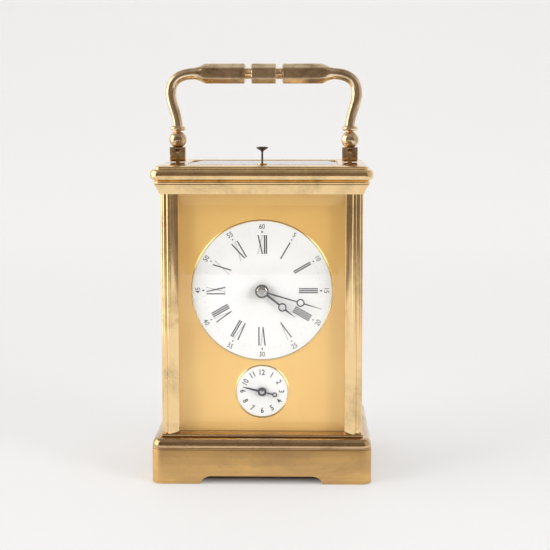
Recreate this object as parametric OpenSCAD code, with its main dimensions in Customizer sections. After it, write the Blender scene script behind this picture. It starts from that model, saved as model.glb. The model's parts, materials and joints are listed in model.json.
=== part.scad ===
// Carriage clock: moulded brass and glass case with a folding handle, a rear door and a
// two-dial front, around a spring-driven striking movement with a platform escapement.
// +Z is up, the dial faces -Y, and the origin is the centre of the foot of the plinth.

/* [Case] */
// Width over the plinth and the cornice
case_w = 95; // [94:0.5:98]
// Depth over the plinth and the cornice
case_d = 82; // [81:0.5:84]
// Height of the plinth skirt
skirt_h = 15.1; // [13:0.1:18]
// Height of the corner posts
post_h = 103.9; // [103:0.1:108]
// Radius of the case's corners in plan
corner_r = 5; // [4.8:0.1:5.2]
// Height of the opening cut under each side of the plinth
foot_arch_h = 3.4; // [2:0.1:5]
// Thickness of the glass panes
glass_t = 2.2; // [1.8:0.1:2.2]
// Width of the bevel round each pane
glass_bevel = 3; // [1:0.1:4]

/* [Dials] */
// Radius of the main dial
dial_r = 30.35; // [28:0.05:32]
// Radius of the alarm dial
alarm_dial_r = 11.25; // [9:0.05:11.4]
// Height of the main dial's centre
dial_z = 82.8; // [82.7:0.05:82.9]
// Height of the alarm dial's centre
alarm_z = 38.4; // [38:0.1:38.6]

/* [Hands] */
// Minute hand, degrees clockwise from twelve
minute_angle = 106.5; // [0:0.5:359.5]
// Hour hand, degrees clockwise from twelve
hour_angle = 128.9; // [0:0.1:359.9]
// Alarm hand, degrees clockwise from twelve
alarm_angle = 283.7; // [0:0.1:359.9]

/* [Handle] */
// Sideways distance of each handle pivot from the middle
pivot_x = 38.5; // [38:0.1:39]
// Height of the handle's pivots
pivot_z = 140.4; // [140.4:0.1:141]
// Height of the grip's centre line
grip_z = 176.6; // [170:0.1:180]
// Corner radius of the hexagonal grip
grip_r = 4.5; // [4:0.1:5]

/* [Hidden] */

$fn = 48;
eps = 0.01;
running = 0.05;

// Case heights and plan
axis_x = case_w / 2 - corner_r;
axis_y = case_d / 2 - corner_r;
moulding_h = 6.1;
floor_z = skirt_h + moulding_h;
cornice_z = floor_z + post_h;
cornice_h = 12.1;
top_z = cornice_z + cornice_h;
skirt_wall = 3;
post_x = axis_x + 1.15;
post_y = axis_y + 1.15;
post_w = 7.65;
inside_x = post_x - post_w;
groove_at = 2.9;
groove_in = 5.45;
pane_lip = 1.5;

// Top glass
lip_x = 31.5;
lip_y = 20.5;
pane_x = 33;
pane_y = 22;
top_pane_t = 2.9;
top_pane_z = top_z - 0.1 - top_pane_t;

// Repeat button
button_y = -25.2;
button_head_r = 2.6;
button_head_z = top_z + 7.8;
button_stem_r = 0.45;

// Rear door
door_t = 3.9;
door_y = post_y - 2.65;
hinge_r = door_t / 2;
hinge_x = inside_x - 0.4 - hinge_r;
door_gap = 0.4;
door_bar = 5.4;
door_pin_r = 0.9;
door_pin_h = 2.4;

// Handle
knuckle_w = 6.9;
knuckle_r = 3;
tongue_w = 1.8;
tongue_r = 2.8;
pin_r = 1;
ball_r = 3.9;
ball_z = 6.9;
tube_r0 = 2.15;
tube_r1 = 2.6;
grip_half = 5.65;
grip_neck_w = 2.4;
grip_end = 26.3;
tube_join_x = 31;

// Movement frame: the plates stand on the case floor
plate_t = 2;
front_plate_y = -19.5;
back_plate_y = 18;
inner_front = front_plate_y + plate_t;
plate_half_w = 33.5;
plate_top = 104;
pivot_r = 0.5;
arbor_r = 0.9;
mask_y = -28;
mask_t = 1;
dial_t = 1.6;

// Train centres, seen from the front as [x, z]
centre_at = [0, dial_z];
going_at = [-16.6, 52];
strike_at = [16.6, 52];
alarm_barrel_at = [13.5, 29];
contrate_at = [11.5, 90];
stud_angle = 300;

// Tooth counts and modules of each mesh
barrel_n = 90;
barrel_m = 0.36;
inter_pinion_n = 12;
inter_n = 72;
inter_m = 0.45;
centre_pinion_n = 10;
centre_n = 80;
centre_m = 0.3;
third_pinion_n = 10;
third_n = 75;
third_m = 0.3;
contrate_pinion_n = 10;
contrate_n = 72;
contrate_m = 0.3;
escape_pinion_n = 8;
cannon_n = 12;
cannon_m = 0.4;
minute_n = 36;
hour_pinion_n = 10;
hour_n = 40;
pin_n = 56;
pin_m = 0.27;
fly_pinion_n = 8;

function spacing(na, nb, m) = (na + nb) * m / 2;
function heading(a, b) = atan2(b[1] - a[1], b[0] - a[0]);
function reach(a, b) = norm(b - a);
function polar(c, r, a) = c + [r * cos(a), r * sin(a)];

// Third corner of a triangle on a and b with the given sides; side is 1 or -1
function corner(a, ra, b, rb, side) =
    let (d = reach(a, b))
    let (along = acos((ra * ra + d * d - rb * rb) / (2 * ra * d)))
    polar(a, ra, heading(a, b) + side * along);

// Angle of a tooth on gear b that puts it in mesh with gear a, whose tooth is at phase_a
function mesh(a, na, phase_a, b, nb) =
    let (toward = heading(a, b))
    toward + 180 - 360 / nb * (0.5 - (toward - phase_a) * na / 360);

inter_at = corner(going_at, spacing(barrel_n, inter_pinion_n, barrel_m), centre_at,
    spacing(inter_n, centre_pinion_n, inter_m), 1);
third_at = corner(centre_at, spacing(centre_n, third_pinion_n, centre_m), contrate_at,
    spacing(third_n, contrate_pinion_n, third_m), -1);
pin_at = polar(strike_at, spacing(barrel_n, inter_pinion_n, barrel_m), 58);
fly_at = polar(pin_at, spacing(pin_n, fly_pinion_n, pin_m), 80);
motion_reach = spacing(cannon_n, minute_n, cannon_m);
hour_m = 2 * motion_reach / (hour_pinion_n + hour_n);
stud_at = polar(centre_at, motion_reach, stud_angle);

inter_pinion_phase = mesh(going_at, barrel_n, 0, inter_at, inter_pinion_n);
centre_pinion_phase = mesh(inter_at, inter_n, 0, centre_at, centre_pinion_n);
third_pinion_phase = mesh(centre_at, centre_n, 0, third_at, third_pinion_n);
contrate_pinion_phase = mesh(third_at, third_n, 0, contrate_at, contrate_pinion_n);
minute_wheel_phase = mesh(centre_at, cannon_n, 0, stud_at, minute_n);
hour_wheel_phase = mesh(stud_at, hour_pinion_n, 0, centre_at, hour_n);
pin_pinion_phase = mesh(strike_at, barrel_n, 0, pin_at, inter_pinion_n);
fly_pinion_phase = mesh(pin_at, pin_n, 0, fly_at, fly_pinion_n);

// Escapement on the platform, seen from above as [x, y]
escape_at = [contrate_at[0], 0];
lever_at = [5.5, 0];
balance_at = [-5.5, 0];
platform_z = plate_top;
platform_t = 1.6;
escape_z = platform_z + 2.8;
escape_r = 4;
balance_z = platform_z + 7;
balance_r = 8.5;

// Gong behind the back plate
gong_z = 62;
gong_r = 25;
gong_pitch = 2;
gong_turns = 3;
gong_wire = 0.7;
gong_y = back_plate_y + plate_t + 3;

// Heights of the hands and the sizes of the pipes they sit on
minute_hand_y = -31.1;
hour_hand_y = -29.9;
alarm_hand_y = -29.3;
hand_t = 0.4;
cannon_r = 1.5;
hour_pipe_r = 2.1;

// Where the smaller pieces of the movement stand
mask_foot_at = [31, 26, 99];
square_y = 24;
square_end = 30.5;
rack_at = [-19, 62];
pillar_at = [29, 25.5, 99.5];
hammer_pivot = [25, 100];
winding_r = 1.3;
flange_y = -10;
drum_y = -8;
drum_l = 16;
contrate_y = -4;
crown_in = 10;
crown_out = 11;
platform_half = [19, 19.75];

// Case screws
post_screw_at = [axis_x - 3, axis_y - 3];
movement_screw_x = 29;

// Clear opening of the door
door_z0 = floor_z + door_gap;
door_z1 = cornice_z - door_gap;
door_left = -inside_x + door_gap;

// Centre line of a handle arm, in two smooth curves from the collar to the grip
arm_low = [[pivot_x, 153.2], [pivot_x, 158.5], [41.7, 163.2], [41.5, 168.3]];
arm_high = [[41.5, 168.3], [41.3, 173.4], [38.2, grip_z], [tube_join_x, grip_z]];
arm_steps = 14;

function curve(p, t) = pow(1 - t, 3) * p[0] + 3 * pow(1 - t, 2) * t * p[1]
    + 3 * (1 - t) * t * t * p[2] + pow(t, 3) * p[3];
arm_line = concat([for (i = [0:arm_steps]) curve(arm_low, i / arm_steps)],
    [for (i = [1:arm_steps]) curve(arm_high, i / arm_steps)]);

// Colours
brass = [0.80, 0.62, 0.34];
satin_brass = [0.74, 0.58, 0.38];
gilt = [0.86, 0.66, 0.36];
enamel = [0.95, 0.95, 0.94];
steel = [0.62, 0.63, 0.66];
blued = [0.16, 0.19, 0.30];
glass = [0.85, 0.93, 0.92, 0.3];

// ---- Shared shapes ----

// Stands a flat shape upright, drawn as seen from the front, with its front face at y0
module upright(y0, t) {
    translate([0, y0 + t, 0]) rotate([90, 0, 0]) linear_extrude(t) children();
}

// A flat many-sided disc
function ring_points(r, n) = [for (i = [0:n - 1]) r * [cos(360 * i / n), sin(360 * i / n)]];

module disc(r, n = 24) {
    polygon(ring_points(r, n));
}

// A flat-sided bar along Y at a train centre
module bar(at, y0, y1, r, n = 12) {
    translate([at[0], 0, at[1]]) upright(y0, y1 - y0) disc(r, n);
}

// Tooth outline with straight flanks, slim enough to leave backlash
module toothed(n, m, phase) {
    pitch_r = n * m / 2;
    step = 360 / n;
    root = pitch_r - 1.05 * m;
    tip = pitch_r + 0.65 * m;
    polygon([for (i = [0:n - 1]) for (c = [[root, -0.26], [tip, -0.1], [tip, 0.1], [root, 0.26]])
        c[0] * [cos(phase + step * (i + c[1])), sin(phase + step * (i + c[1]))]]);
}

// A crossed-out wheel: toothed rim, spokes and hub
module crossed(n, m, phase, spokes, rim, hub) {
    inner = n * m / 2 - 1.05 * m - rim;
    difference() {
        toothed(n, m, phase);
        disc(inner, 60);
    }
    disc(hub, 24);
    for (i = [0:spokes - 1]) rotate(360 * i / spokes) translate([0, -0.6]) square([inner + rim / 2, 1.2]);
}

module wheel(at, y0, t, n, m, phase, spokes = 5, rim = 1.1, hub = 2.4) {
    translate([at[0], 0, at[1]]) upright(y0, t) crossed(n, m, phase, spokes, rim, hub);
}

module pinion(at, y0, t, n, m, phase) {
    translate([at[0], 0, at[1]]) upright(y0, t) toothed(n, m, phase);
}

// An arbor between the plates with a pivot at each end
module arbor(at) {
    bar(at, inner_front + 0.2, back_plate_y - 0.2, arbor_r);
    bar(at, front_plate_y + 0.3, back_plate_y + plate_t - 0.3, pivot_r);
}

// Rectangle with rounded corners
module round_rect(w, d, r) {
    square([w - 2 * r, d], center = true);
    square([w, d - 2 * r], center = true);
    for (x = [-1, 1]) for (y = [-1, 1]) translate([x * (w / 2 - r), y * (d / 2 - r)]) circle(r);
}

// A moulding run round the case; profile is [distance out from the corner axis, height]
module moulded_band(profile) {
    for (side = [-1, 1]) {
        translate([side * axis_x, 0, 0]) mirror([side < 0 ? 1 : 0, 0, 0]) rotate([90, 0, 0])
            linear_extrude(2 * axis_y, center = true) polygon(profile);
        translate([0, side * axis_y, 0]) rotate([0, 0, 90 * side]) rotate([90, 0, 0])
            linear_extrude(2 * axis_x, center = true) polygon(profile);
    }
    for (x = [-1, 1]) for (y = [-1, 1]) translate([x * axis_x, y * axis_y, 0])
        mirror([x < 0 ? 1 : 0, 0, 0]) mirror([0, y < 0 ? 1 : 0, 0])
            rotate_extrude(angle = 90) polygon(profile);
}

// Bulging arc for moulding profiles, from angle a0 to a1 round [x, z]
function bulge(x, z, rx, rz, a0, a1, n) =
    [for (i = [0:n]) let (a = a0 + (a1 - a0) * i / n) [x + rx * cos(a), z + rz * sin(a)]];

// ---- Case ----

// Opening under one side of the plinth: a flat top falling to the floor in two quarter ellipses
module foot_arch(half) {
    shoulder = 4.5;
    end = [for (a = [0:10:90]) [half - shoulder + shoulder * cos(a), foot_arch_h * sin(a)]];
    other_end = [for (i = [len(end) - 1:-1:0]) [-end[i][0], end[i][1]]];
    polygon(concat([[half, -eps]], end, other_end, [[-half, -eps]]));
}

module plinth_skirt() {
    arch_front = 26.2;
    arch_side = 20;
    color(satin_brass) difference() {
        linear_extrude(skirt_h) difference() {
            round_rect(case_w, case_d, corner_r);
            round_rect(case_w - 2 * skirt_wall, case_d - 2 * skirt_wall, corner_r - skirt_wall);
        }
        upright(-case_d, 2 * case_d) foot_arch(arch_front);
        rotate([0, 0, 90]) upright(-case_w, 2 * case_w) foot_arch(arch_side);
    }
}

module base_moulding() {
    profile = concat([[0, 0], [4.9, 0], [4.9, 0.7], [4.65, 0.75]], bulge(1.6, 0.8, 3.3, 3.9, 0, 90, 10),
        [[1.05, 4.7]], bulge(1.05, 5.45, 0.5, 0.65, -90, 90, 6), [[1.0, moulding_h], [0, moulding_h]]);
    pocket_h = 3.1;
    color(brass) difference() {
        union() {
            translate([0, 0, skirt_h]) moulded_band(profile);
            translate([-axis_x, -axis_y, skirt_h]) cube([2 * axis_x, 2 * axis_y, moulding_h]);
        }
        translate([-34, -29, skirt_h - eps]) cube([68, 58, pocket_h + eps]);
        translate([hinge_x, door_y, floor_z - door_pin_h - 0.2])
            cylinder(r = door_pin_r + running, h = moulding_h);
        case_screw_shanks();
    }
}

module case_screw_shanks() {
    for (x = [-1, 1]) {
        for (y = [-1, 1]) translate([x * post_screw_at[0], y * post_screw_at[1], skirt_h - eps])
            cylinder(r = 1.1, h = moulding_h + 7);
        translate([x * movement_screw_x, 0, skirt_h]) cylinder(r = 1.2, h = moulding_h + 3.5);
    }
}

module case_screws() {
    head_h = 1.5;
    color(steel) {
        for (x = [-1, 1]) {
            for (y = [-1, 1]) translate([x * post_screw_at[0], y * post_screw_at[1], 0]) {
                translate([0, 0, skirt_h]) cylinder(r = 1.1, h = moulding_h + 6);
                slotted_head([0, 0, skirt_h - head_h], 2.4, head_h);
            }
            translate([x * movement_screw_x, 0, 0]) {
                translate([0, 0, skirt_h + 3]) cylinder(r = 1.2, h = moulding_h);
                slotted_head([0, 0, skirt_h + 1.6], 2.4, head_h);
            }
        }
    }
}

module slotted_head(at, r, h) {
    translate(at) difference() {
        cylinder(r = r, h = h);
        translate([-r, -0.25, -eps]) cube([2 * r, 0.5, 0.6]);
    }
}

// Plan of a corner post, from its outer corner inwards: three reeds run round the corner
module post_outline(front_groove) {
    reed_r = 1.15;
    bevel = 4.9;
    difference() {
        union() {
            translate([bevel - 0.15, 0.5]) square([post_w - bevel + 0.15, post_w - 0.5]);
            translate([0.5, bevel - 0.15]) square([post_w - 0.5, post_w - bevel + 0.15]);
            translate([bevel, bevel]) {
                intersection() {
                    circle(bevel - reed_r);
                    translate([-bevel, -bevel]) square(bevel);
                }
                for (a = [15, 45, 75]) rotate(a) translate([reed_r - bevel, 0]) circle(reed_r);
            }
        }
        polygon([[bevel, -1], [bevel, 0.5], [post_w + 1, 2.7], [post_w + 1, -1]]);
        polygon([[-1, bevel], [0.5, bevel], [2.7, post_w + 1], [-1, post_w + 1]]);
        translate([groove_at, groove_in]) square([glass_t, post_w]);
        if (front_groove) translate([groove_in, groove_at]) square([post_w, glass_t]);
    }
}

module post(x, y) {
    color(brass) difference() {
        translate([x * post_x, y * post_y, floor_z]) mirror([x > 0 ? 1 : 0, 0, 0])
            mirror([0, y > 0 ? 1 : 0, 0]) linear_extrude(post_h) post_outline(y < 0);
        translate([x * post_screw_at[0], y * post_screw_at[1], skirt_h])
            cylinder(r = 1.1, h = moulding_h + 6);
    }
}

module post_front_left() {
    post(-1, -1);
}

module post_front_right() {
    post(1, -1);
}

module post_rear_left() {
    post(-1, 1);
}

module post_rear_right() {
    post(1, 1);
}

module top_frame() {
    profile = concat([[0, 0], [1.15, 0]], [for (i = [0:6]) let (t = i / 6)
        [1.15 + 1.15 * t * (1 + t), 0.1 + 4 * t]],
        bulge(2.75, 4.95, 0.85, 0.8, -80, 80, 6), bulge(2.6, 8.25, 2.4, 2.3, -78, 78, 10),
        [[2.8, 10.6], [2.8, 11.2]], bulge(2.3, 11.2, 0.5, 0.45, 0, 75, 4),
        [[1.1, cornice_h], [0, cornice_h]]);
    color(brass) difference() {
        union() {
            translate([0, 0, cornice_z]) moulded_band(profile);
            translate([-axis_x, -axis_y, cornice_z]) cube([2 * axis_x, 2 * axis_y, cornice_h]);
        }
        translate([-pane_x, -pane_y, top_pane_z]) cube([2 * pane_x, 2 * pane_y, cornice_h]);
        translate([-lip_x, -lip_y, cornice_z - 1]) cube([2 * lip_x, 2 * lip_y, cornice_h + 2]);
        translate([0, button_y, cornice_z - 1]) cylinder(r = 1.2, h = cornice_h + 2);
        translate([hinge_x, door_y, cornice_z - 1]) cylinder(r = door_pin_r + running, h = door_pin_h + 1.2);
        for (x = [-1, 1]) translate([x * pivot_x, 0, top_z - 5]) cylinder(r = 1.3, h = 6);
    }
}

// A pane lying flat, its upper edges bevelled down to the share of its thickness called rim
module flat_pane(w, d, t, bevel, rim = 0.55) {
    edge = t * rim;
    intersection() {
        translate([-w / 2, -d / 2, 0]) cube([w, d, t]);
        rotate([90, 0, 0]) linear_extrude(d + 1, center = true) pane_section(w, t, bevel, edge);
        rotate([90, 0, 90]) linear_extrude(w + 1, center = true) pane_section(d, t, bevel, edge);
    }
}

module pane_section(w, t, bevel, edge) {
    polygon([[-w / 2, 0], [w / 2, 0], [w / 2, edge], [w / 2 - bevel, t],
        [-w / 2 + bevel, t], [-w / 2, edge]]);
}

module top_glass() {
    color(glass) translate([0, 0, top_pane_z])
        flat_pane(2 * pane_x, 2 * pane_y, top_pane_t, glass_bevel + pane_lip, 0.85);
}

module front_glass() {
    half = post_x - groove_in;
    color(glass) translate([0, -post_y + groove_at + glass_t, floor_z + post_h / 2]) rotate([90, 0, 0])
        flat_pane(2 * half, post_h, glass_t, glass_bevel + 2);
}

module side_glass(side) {
    half = post_y - groove_in;
    color(glass) translate([side * (post_x - groove_at - glass_t), 0, floor_z + post_h / 2])
        rotate([0, 90 * side, 0]) flat_pane(post_h, 2 * half, glass_t, glass_bevel + 2);
}

module side_glass_left() {
    side_glass(-1);
}

module side_glass_right() {
    side_glass(1);
}

// ---- Handle ----

// Fixed lug: an upright tongue, round at the top, on a shank let into the cornice
module pivot_block(side) {
    color(brass) translate([side * pivot_x, 0, 0]) {
        difference() {
            union() {
                translate([0, 0, pivot_z]) rotate([0, 90, 0])
                    cylinder(r = tongue_r, h = tongue_w, center = true);
                translate([-tongue_w / 2, -tongue_r, top_z]) cube([tongue_w, 2 * tongue_r, pivot_z - top_z]);
            }
            translate([0, 0, pivot_z]) rotate([0, 90, 0]) cylinder(r = pin_r, h = 20, center = true);
        }
        translate([0, 0, top_z - 4.4]) cylinder(r = 1.3, h = 4.45);
    }
}

module pivot_block_left() {
    pivot_block(-1);
}

module pivot_block_right() {
    pivot_block(1);
}

module pivot_pins() {
    color(steel) for (side = [-1, 1]) translate([side * pivot_x, 0, pivot_z]) rotate([0, 90, 0])
        cylinder(r = pin_r, h = knuckle_w, center = true);
}

module button_bush() {
    color(brass) translate([0, button_y, 0]) difference() {
        union() {
            translate([0, 0, top_z]) cylinder(r = 2.15, h = 0.6);
            translate([0, 0, cornice_z]) cylinder(r = 1.2, h = cornice_h);
        }
        translate([0, 0, cornice_z - 1]) cylinder(r = button_stem_r + running, h = cornice_h + 3);
    }
}

module repeat_button() {
    head = concat([[0, 0], [button_stem_r, 0], [0.8, 0.5]], [[1.9, 1.1], [button_head_r, 1.7]],
        [[button_head_r, 2.0], [2.2, 2.25], [0, 2.3]]);
    color(steel) translate([0, button_y, 0]) {
        translate([0, 0, button_head_z - 2.3]) rotate_extrude() polygon(head);
        translate([0, 0, cornice_z - 5]) cylinder(r = button_stem_r, h = button_head_z - cornice_z + 3);
    }
}

// Grip: three hexagonal lengths on a round core, turned down at their ends
module handle_grip() {
    neck_r = 2.38;
    chamfer = 1.1;
    spindle = [[-tube_join_x, 0], [-tube_join_x, tube_r1], [-29.2, 3.0], [-grip_end, grip_r],
        [-grip_half - grip_neck_w - chamfer * 0.6, grip_r], [-grip_half - grip_neck_w, grip_r - chamfer],
        [-grip_half - grip_neck_w, neck_r], [-grip_half, neck_r], [-grip_half, grip_r - chamfer * 0.4],
        [-grip_half + 0.5, grip_r]];
    other_half = [for (i = [len(spindle) - 1:-1:0]) [-spindle[i][0], spindle[i][1]]];
    color(brass) translate([0, 0, grip_z]) rotate([0, 90, 0]) intersection() {
        rotate_extrude() polygon([for (p = concat(spindle, other_half)) [p[1], p[0]]]);
        cylinder(r = grip_r, h = 2 * tube_join_x, center = true, $fn = 6);
    }
}

// A tapering round tube swept along a line in the XZ plane
module swept_tube(line, r0, r1, sides) {
    last = len(line) - 1;
    rings = [for (i = [0:last])
        let (ahead = line[min(i + 1, last)] - line[max(i - 1, 0)])
        let (across = [ahead[1], -ahead[0]] / norm(ahead))
        let (r = r0 + (r1 - r0) * i / last)
        for (k = [0:sides - 1])
            let (a = 360 * k / sides)
            [line[i][0] + r * cos(a) * across[0], r * sin(a), line[i][1] + r * cos(a) * across[1]]];
    skin = [for (i = [0:last - 1]) for (k = [0:sides - 1])
        let (n = (k + 1) % sides)
        [i * sides + k, (i + 1) * sides + k, (i + 1) * sides + n, i * sides + n]];
    ends = [[for (k = [0:sides - 1]) k], [for (k = [sides - 1:-1:0]) last * sides + k]];
    polyhedron(rings, concat(skin, ends));
}

// Forked block, ball and collar at the foot of a handle arm, from the pivot upwards
module handle_knuckle() {
    cut = 3.45;
    profile = concat([[0, ball_z - cut]], [for (i = [0:14]) let (a = -asin(cut / ball_r)
        + (68 + asin(cut / ball_r)) * i / 14) [ball_r * cos(a), ball_z + ball_r * sin(a)]],
        bulge(2.3, 11.9, 1.2, 1.1, -80, 80, 8), [[tube_r0, 13.2], [0, 13.2]]);
    rotate_extrude() polygon(profile);
    difference() {
        union() {
            rotate([0, 90, 0]) cylinder(r = knuckle_r, h = knuckle_w, center = true);
            translate([-knuckle_w / 2, -knuckle_r, 0]) cube([knuckle_w, 2 * knuckle_r, ball_z - cut + 0.1]);
        }
        translate([-tongue_w / 2 - running, -2 * knuckle_r, -2 * knuckle_r])
            cube([tongue_w + 2 * running, 4 * knuckle_r, 2 * knuckle_r + tongue_r + 0.1]);
        rotate([0, 90, 0]) cylinder(r = pin_r + running, h = 10, center = true);
    }
}

module handle_arm(side) {
    color(brass) mirror([side < 0 ? 1 : 0, 0, 0]) {
        swept_tube(arm_line, tube_r0, tube_r1, 24);
        translate([pivot_x, 0, pivot_z]) handle_knuckle();
    }
}

module handle_arm_left() {
    handle_arm(-1);
}

module handle_arm_right() {
    handle_arm(1);
}

// ---- Rear door ----

module door_frame() {
    width = hinge_x - door_left;
    mid_z = (door_z0 + door_z1) / 2;
    color(brass) {
        difference() {
            union() {
                translate([door_left, door_y - hinge_r, door_z0]) cube([width, door_t, door_z1 - door_z0]);
                translate([hinge_x, door_y, door_z0]) cylinder(r = hinge_r, h = door_z1 - door_z0);
            }
            translate([door_left + door_bar, door_y - door_t, door_z0 + door_bar])
                cube([width - door_bar - door_bar + hinge_r, 2 * door_t, door_z1 - door_z0 - 2 * door_bar]);
            translate([door_left + door_bar - pane_lip, door_y - glass_t / 2, door_z0 + door_bar - pane_lip])
                cube([width - 2 * door_bar + hinge_r + 2 * pane_lip, glass_t,
                    door_z1 - door_z0 - 2 * door_bar + 2 * pane_lip]);
            translate([door_left + door_bar / 2, door_y, mid_z]) rotate([90, 0, 0])
                cylinder(r = 0.9, h = 10, center = true);
        }
        for (z = [door_z0 - door_pin_h + 0.1, door_z1 - eps]) translate([hinge_x, door_y, z])
            cylinder(r = door_pin_r, h = door_pin_h - 0.1 + eps);
    }
}

module door_glass() {
    width = hinge_x - door_left - 2 * door_bar + hinge_r + 2 * pane_lip;
    height = door_z1 - door_z0 - 2 * door_bar + 2 * pane_lip;
    color(glass) translate([door_left + door_bar - pane_lip + width / 2, door_y - glass_t / 2,
        (door_z0 + door_z1) / 2]) rotate([-90, 0, 0]) flat_pane(width, height, glass_t, glass_bevel);
}

module door_knob() {
    knob = [[0, -3], [0.9, -3], [0.9, 0], [1.6, 0], [1.6, 0.5], [0.9, 1.0], [0.9, 1.8], [2.0, 2.4],
        [2.4, 3.1], [2.1, 3.8], [1.2, 4.2], [0, 4.3]];
    color(brass) translate([door_left + door_bar / 2, door_y + hinge_r, (door_z0 + door_z1) / 2])
        rotate([-90, 0, 0]) rotate_extrude() polygon(knob);
}

// ---- Dials and hands ----

module dial_mask() {
    half = 37.8;
    color(gilt) upright(mask_y, mask_t) difference() {
        translate([-half, floor_z + 0.1]) square([2 * half, post_h - 0.2]);
        translate(centre_at) circle(dial_r);
        translate([0, alarm_z]) circle(alarm_dial_r);
    }
}

module mask_feet() {
    color(brass) for (x = [-1, 1]) for (i = [1, 2])
        bar([x * mask_foot_at[0], mask_foot_at[i]], mask_y + mask_t, front_plate_y, 1.6);
}

module enamel_dial(at, r, hole) {
    color(enamel) translate([at[0], mask_y + dial_t, at[1]]) rotate([90, 0, 0]) difference() {
        cylinder(r = r, h = dial_t);
        translate([0, 0, -1]) cylinder(r = hole, h = dial_t + 2);
    }
}

module main_dial() {
    enamel_dial(centre_at, dial_r, 2.6);
}

module alarm_dial() {
    enamel_dial([0, alarm_z], alarm_dial_r, 1.4);
}

// A slender hand pointing up, with a ring on it and a spear point past the ring
module ring_hand(length, ring_at, ring_r, boss_r, width) {
    difference() {
        union() {
            polygon([[-width, 0], [-width * 0.55, ring_at], [width * 0.55, ring_at], [width, 0]]);
            translate([0, ring_at]) circle(ring_r);
            polygon([[-width * 0.9, ring_at + ring_r - 0.2], [0, length],
                [width * 0.9, ring_at + ring_r - 0.2]]);
            circle(boss_r);
        }
        translate([0, ring_at]) circle(ring_r * 0.58);
    }
}

module minute_hand() {
    color(blued) translate([0, 0, dial_z]) upright(minute_hand_y, hand_t) difference() {
        rotate(-minute_angle) ring_hand(26.4, 17, 1.55, 2.8, 0.55);
        circle(cannon_r);
    }
}

module hour_hand() {
    color(blued) translate([0, 0, dial_z]) upright(hour_hand_y, hand_t) difference() {
        rotate(-hour_angle) ring_hand(18.3, 11.2, 1.85, 2.8, 0.65);
        circle(hour_pipe_r);
    }
}

module alarm_hand() {
    color(blued) translate([0, 0, alarm_z]) upright(alarm_hand_y, hand_t) difference() {
        rotate(-alarm_angle) union() {
            polygon([[-0.45, 0], [-0.3, 6.5], [0, 9.1], [0.3, 6.5], [0.45, 0]]);
            polygon([[-0.35, 0], [-0.25, -4.6], [0.25, -4.6], [0.35, 0]]);
            difference() {
                translate([0, -5.6]) circle(1.1);
                translate([0, -5.6]) circle(0.6);
            }
            circle(1.95);
        }
        circle(0.8);
    }
}

module hand_nut() {
    profile = [[1.0, 0], [2.95, 0], [2.95, 0.25], [2.3, 0.5], [1.0, 0.5]];
    color(steel) translate([0, minute_hand_y, dial_z]) rotate([90, 0, 0]) rotate_extrude() polygon(profile);
}

// ---- Hand drive behind the dial ----

// Squared end of an arbor, for the key
module key_square(at, size) {
    translate([at[0], 0, at[1]]) upright(square_y, square_end - square_y) square(size, center = true);
}

module centre_arbor() {
    color(steel) {
        bar(centre_at, minute_hand_y - 0.5, -22.4, 1.0);
        bar(centre_at, -22.4, square_y, 1.2);
        key_square(centre_at, 1.8);
    }
}

module cannon_pinion() {
    color(steel) difference() {
        union() {
            pinion(centre_at, -22.4, 2.2, cannon_n, cannon_m, 0);
            bar(centre_at, minute_hand_y, -22, cannon_r, 24);
        }
        bar(centre_at, minute_hand_y - 1, -22.4, 1.0);
        bar(centre_at, -22.5, -19, 1.2);
    }
}

module minute_wheel() {
    stud_r = 0.8;
    color(brass) difference() {
        union() {
            wheel(stud_at, -21.8, 1, minute_n, cannon_m, minute_wheel_phase, 4, 1.1, 2);
            pinion(stud_at, -25, 3.3, hour_pinion_n, hour_m, 0);
        }
        bar(stud_at, -26, -19, stud_r + 0.08);
    }
}

// Snail: twelve steps falling from the one-o'clock step to the twelve-o'clock step
function snail_points() = [for (i = [0:11]) for (k = [0:3])
    let (r = 6.4 - 0.26 * i)
    let (a = 30 * i + 10 * k)
    [r * cos(a), r * sin(a)]];

module hour_wheel() {
    color(brass) difference() {
        union() {
            wheel(centre_at, -24.3, 1, hour_n, hour_m, hour_wheel_phase, 4, 1.2, 3.2);
            translate([0, 0, dial_z]) upright(-25.5, 1) polygon(snail_points());
            bar(centre_at, hour_hand_y, -23.6, hour_pipe_r, 24);
        }
        bar(centre_at, hour_hand_y - 1, -23, cannon_r + 0.1, 24);
    }
}

module rack() {
    tail = [11.4, 14.2];
    arm_a = 122;
    color(steel) translate([rack_at[0], 0, rack_at[1]]) difference() {
        union() {
            upright(-25.5, 0.9) {
                disc(2.2);
                polygon([[-1.1, 0.6], [1.1, -0.6],
                    [tail[0] + 0.6, tail[1] - 0.4], [tail[0] - 0.6, tail[1] + 0.4]]);
                rotate(arm_a) translate([0, -1]) square([16, 2]);
                polygon([for (i = [0:28])
                    (18 + 0.7 * (i % 2)) * [cos(arm_a - 22 + 1.6 * i), sin(arm_a - 22 + 1.6 * i)],
                    for (i = [28:-1:0]) 15.6 * [cos(arm_a - 22 + 1.6 * i), sin(arm_a - 22 + 1.6 * i)]]);
            }
            upright(-24.6, 4.9) disc(1.6);
        }
        upright(-26, 7) disc(0.88);
    }
}

module alarm_set_arbor() {
    at = [0, alarm_z];
    color(steel) {
        bar(at, alarm_hand_y - 0.2, square_y, 0.8);
        key_square(at, 1.1);
    }
}

// ---- Movement frame ----

// Holes through both plates: running arbors and winding arbors
module plate_holes() {
    for (at = [inter_at, third_at, contrate_at, pin_at, fly_at]) translate(at) disc(pivot_r + 0.08, 12);
    for (at = [going_at, strike_at, alarm_barrel_at, centre_at]) translate(at) disc(winding_r + 0.08, 12);
    translate([0, alarm_z]) disc(0.9, 12);
}

module plate_outline() {
    difference() {
        translate([-plate_half_w, floor_z]) square([2 * plate_half_w, plate_top - floor_z]);
        plate_holes();
    }
}

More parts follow.
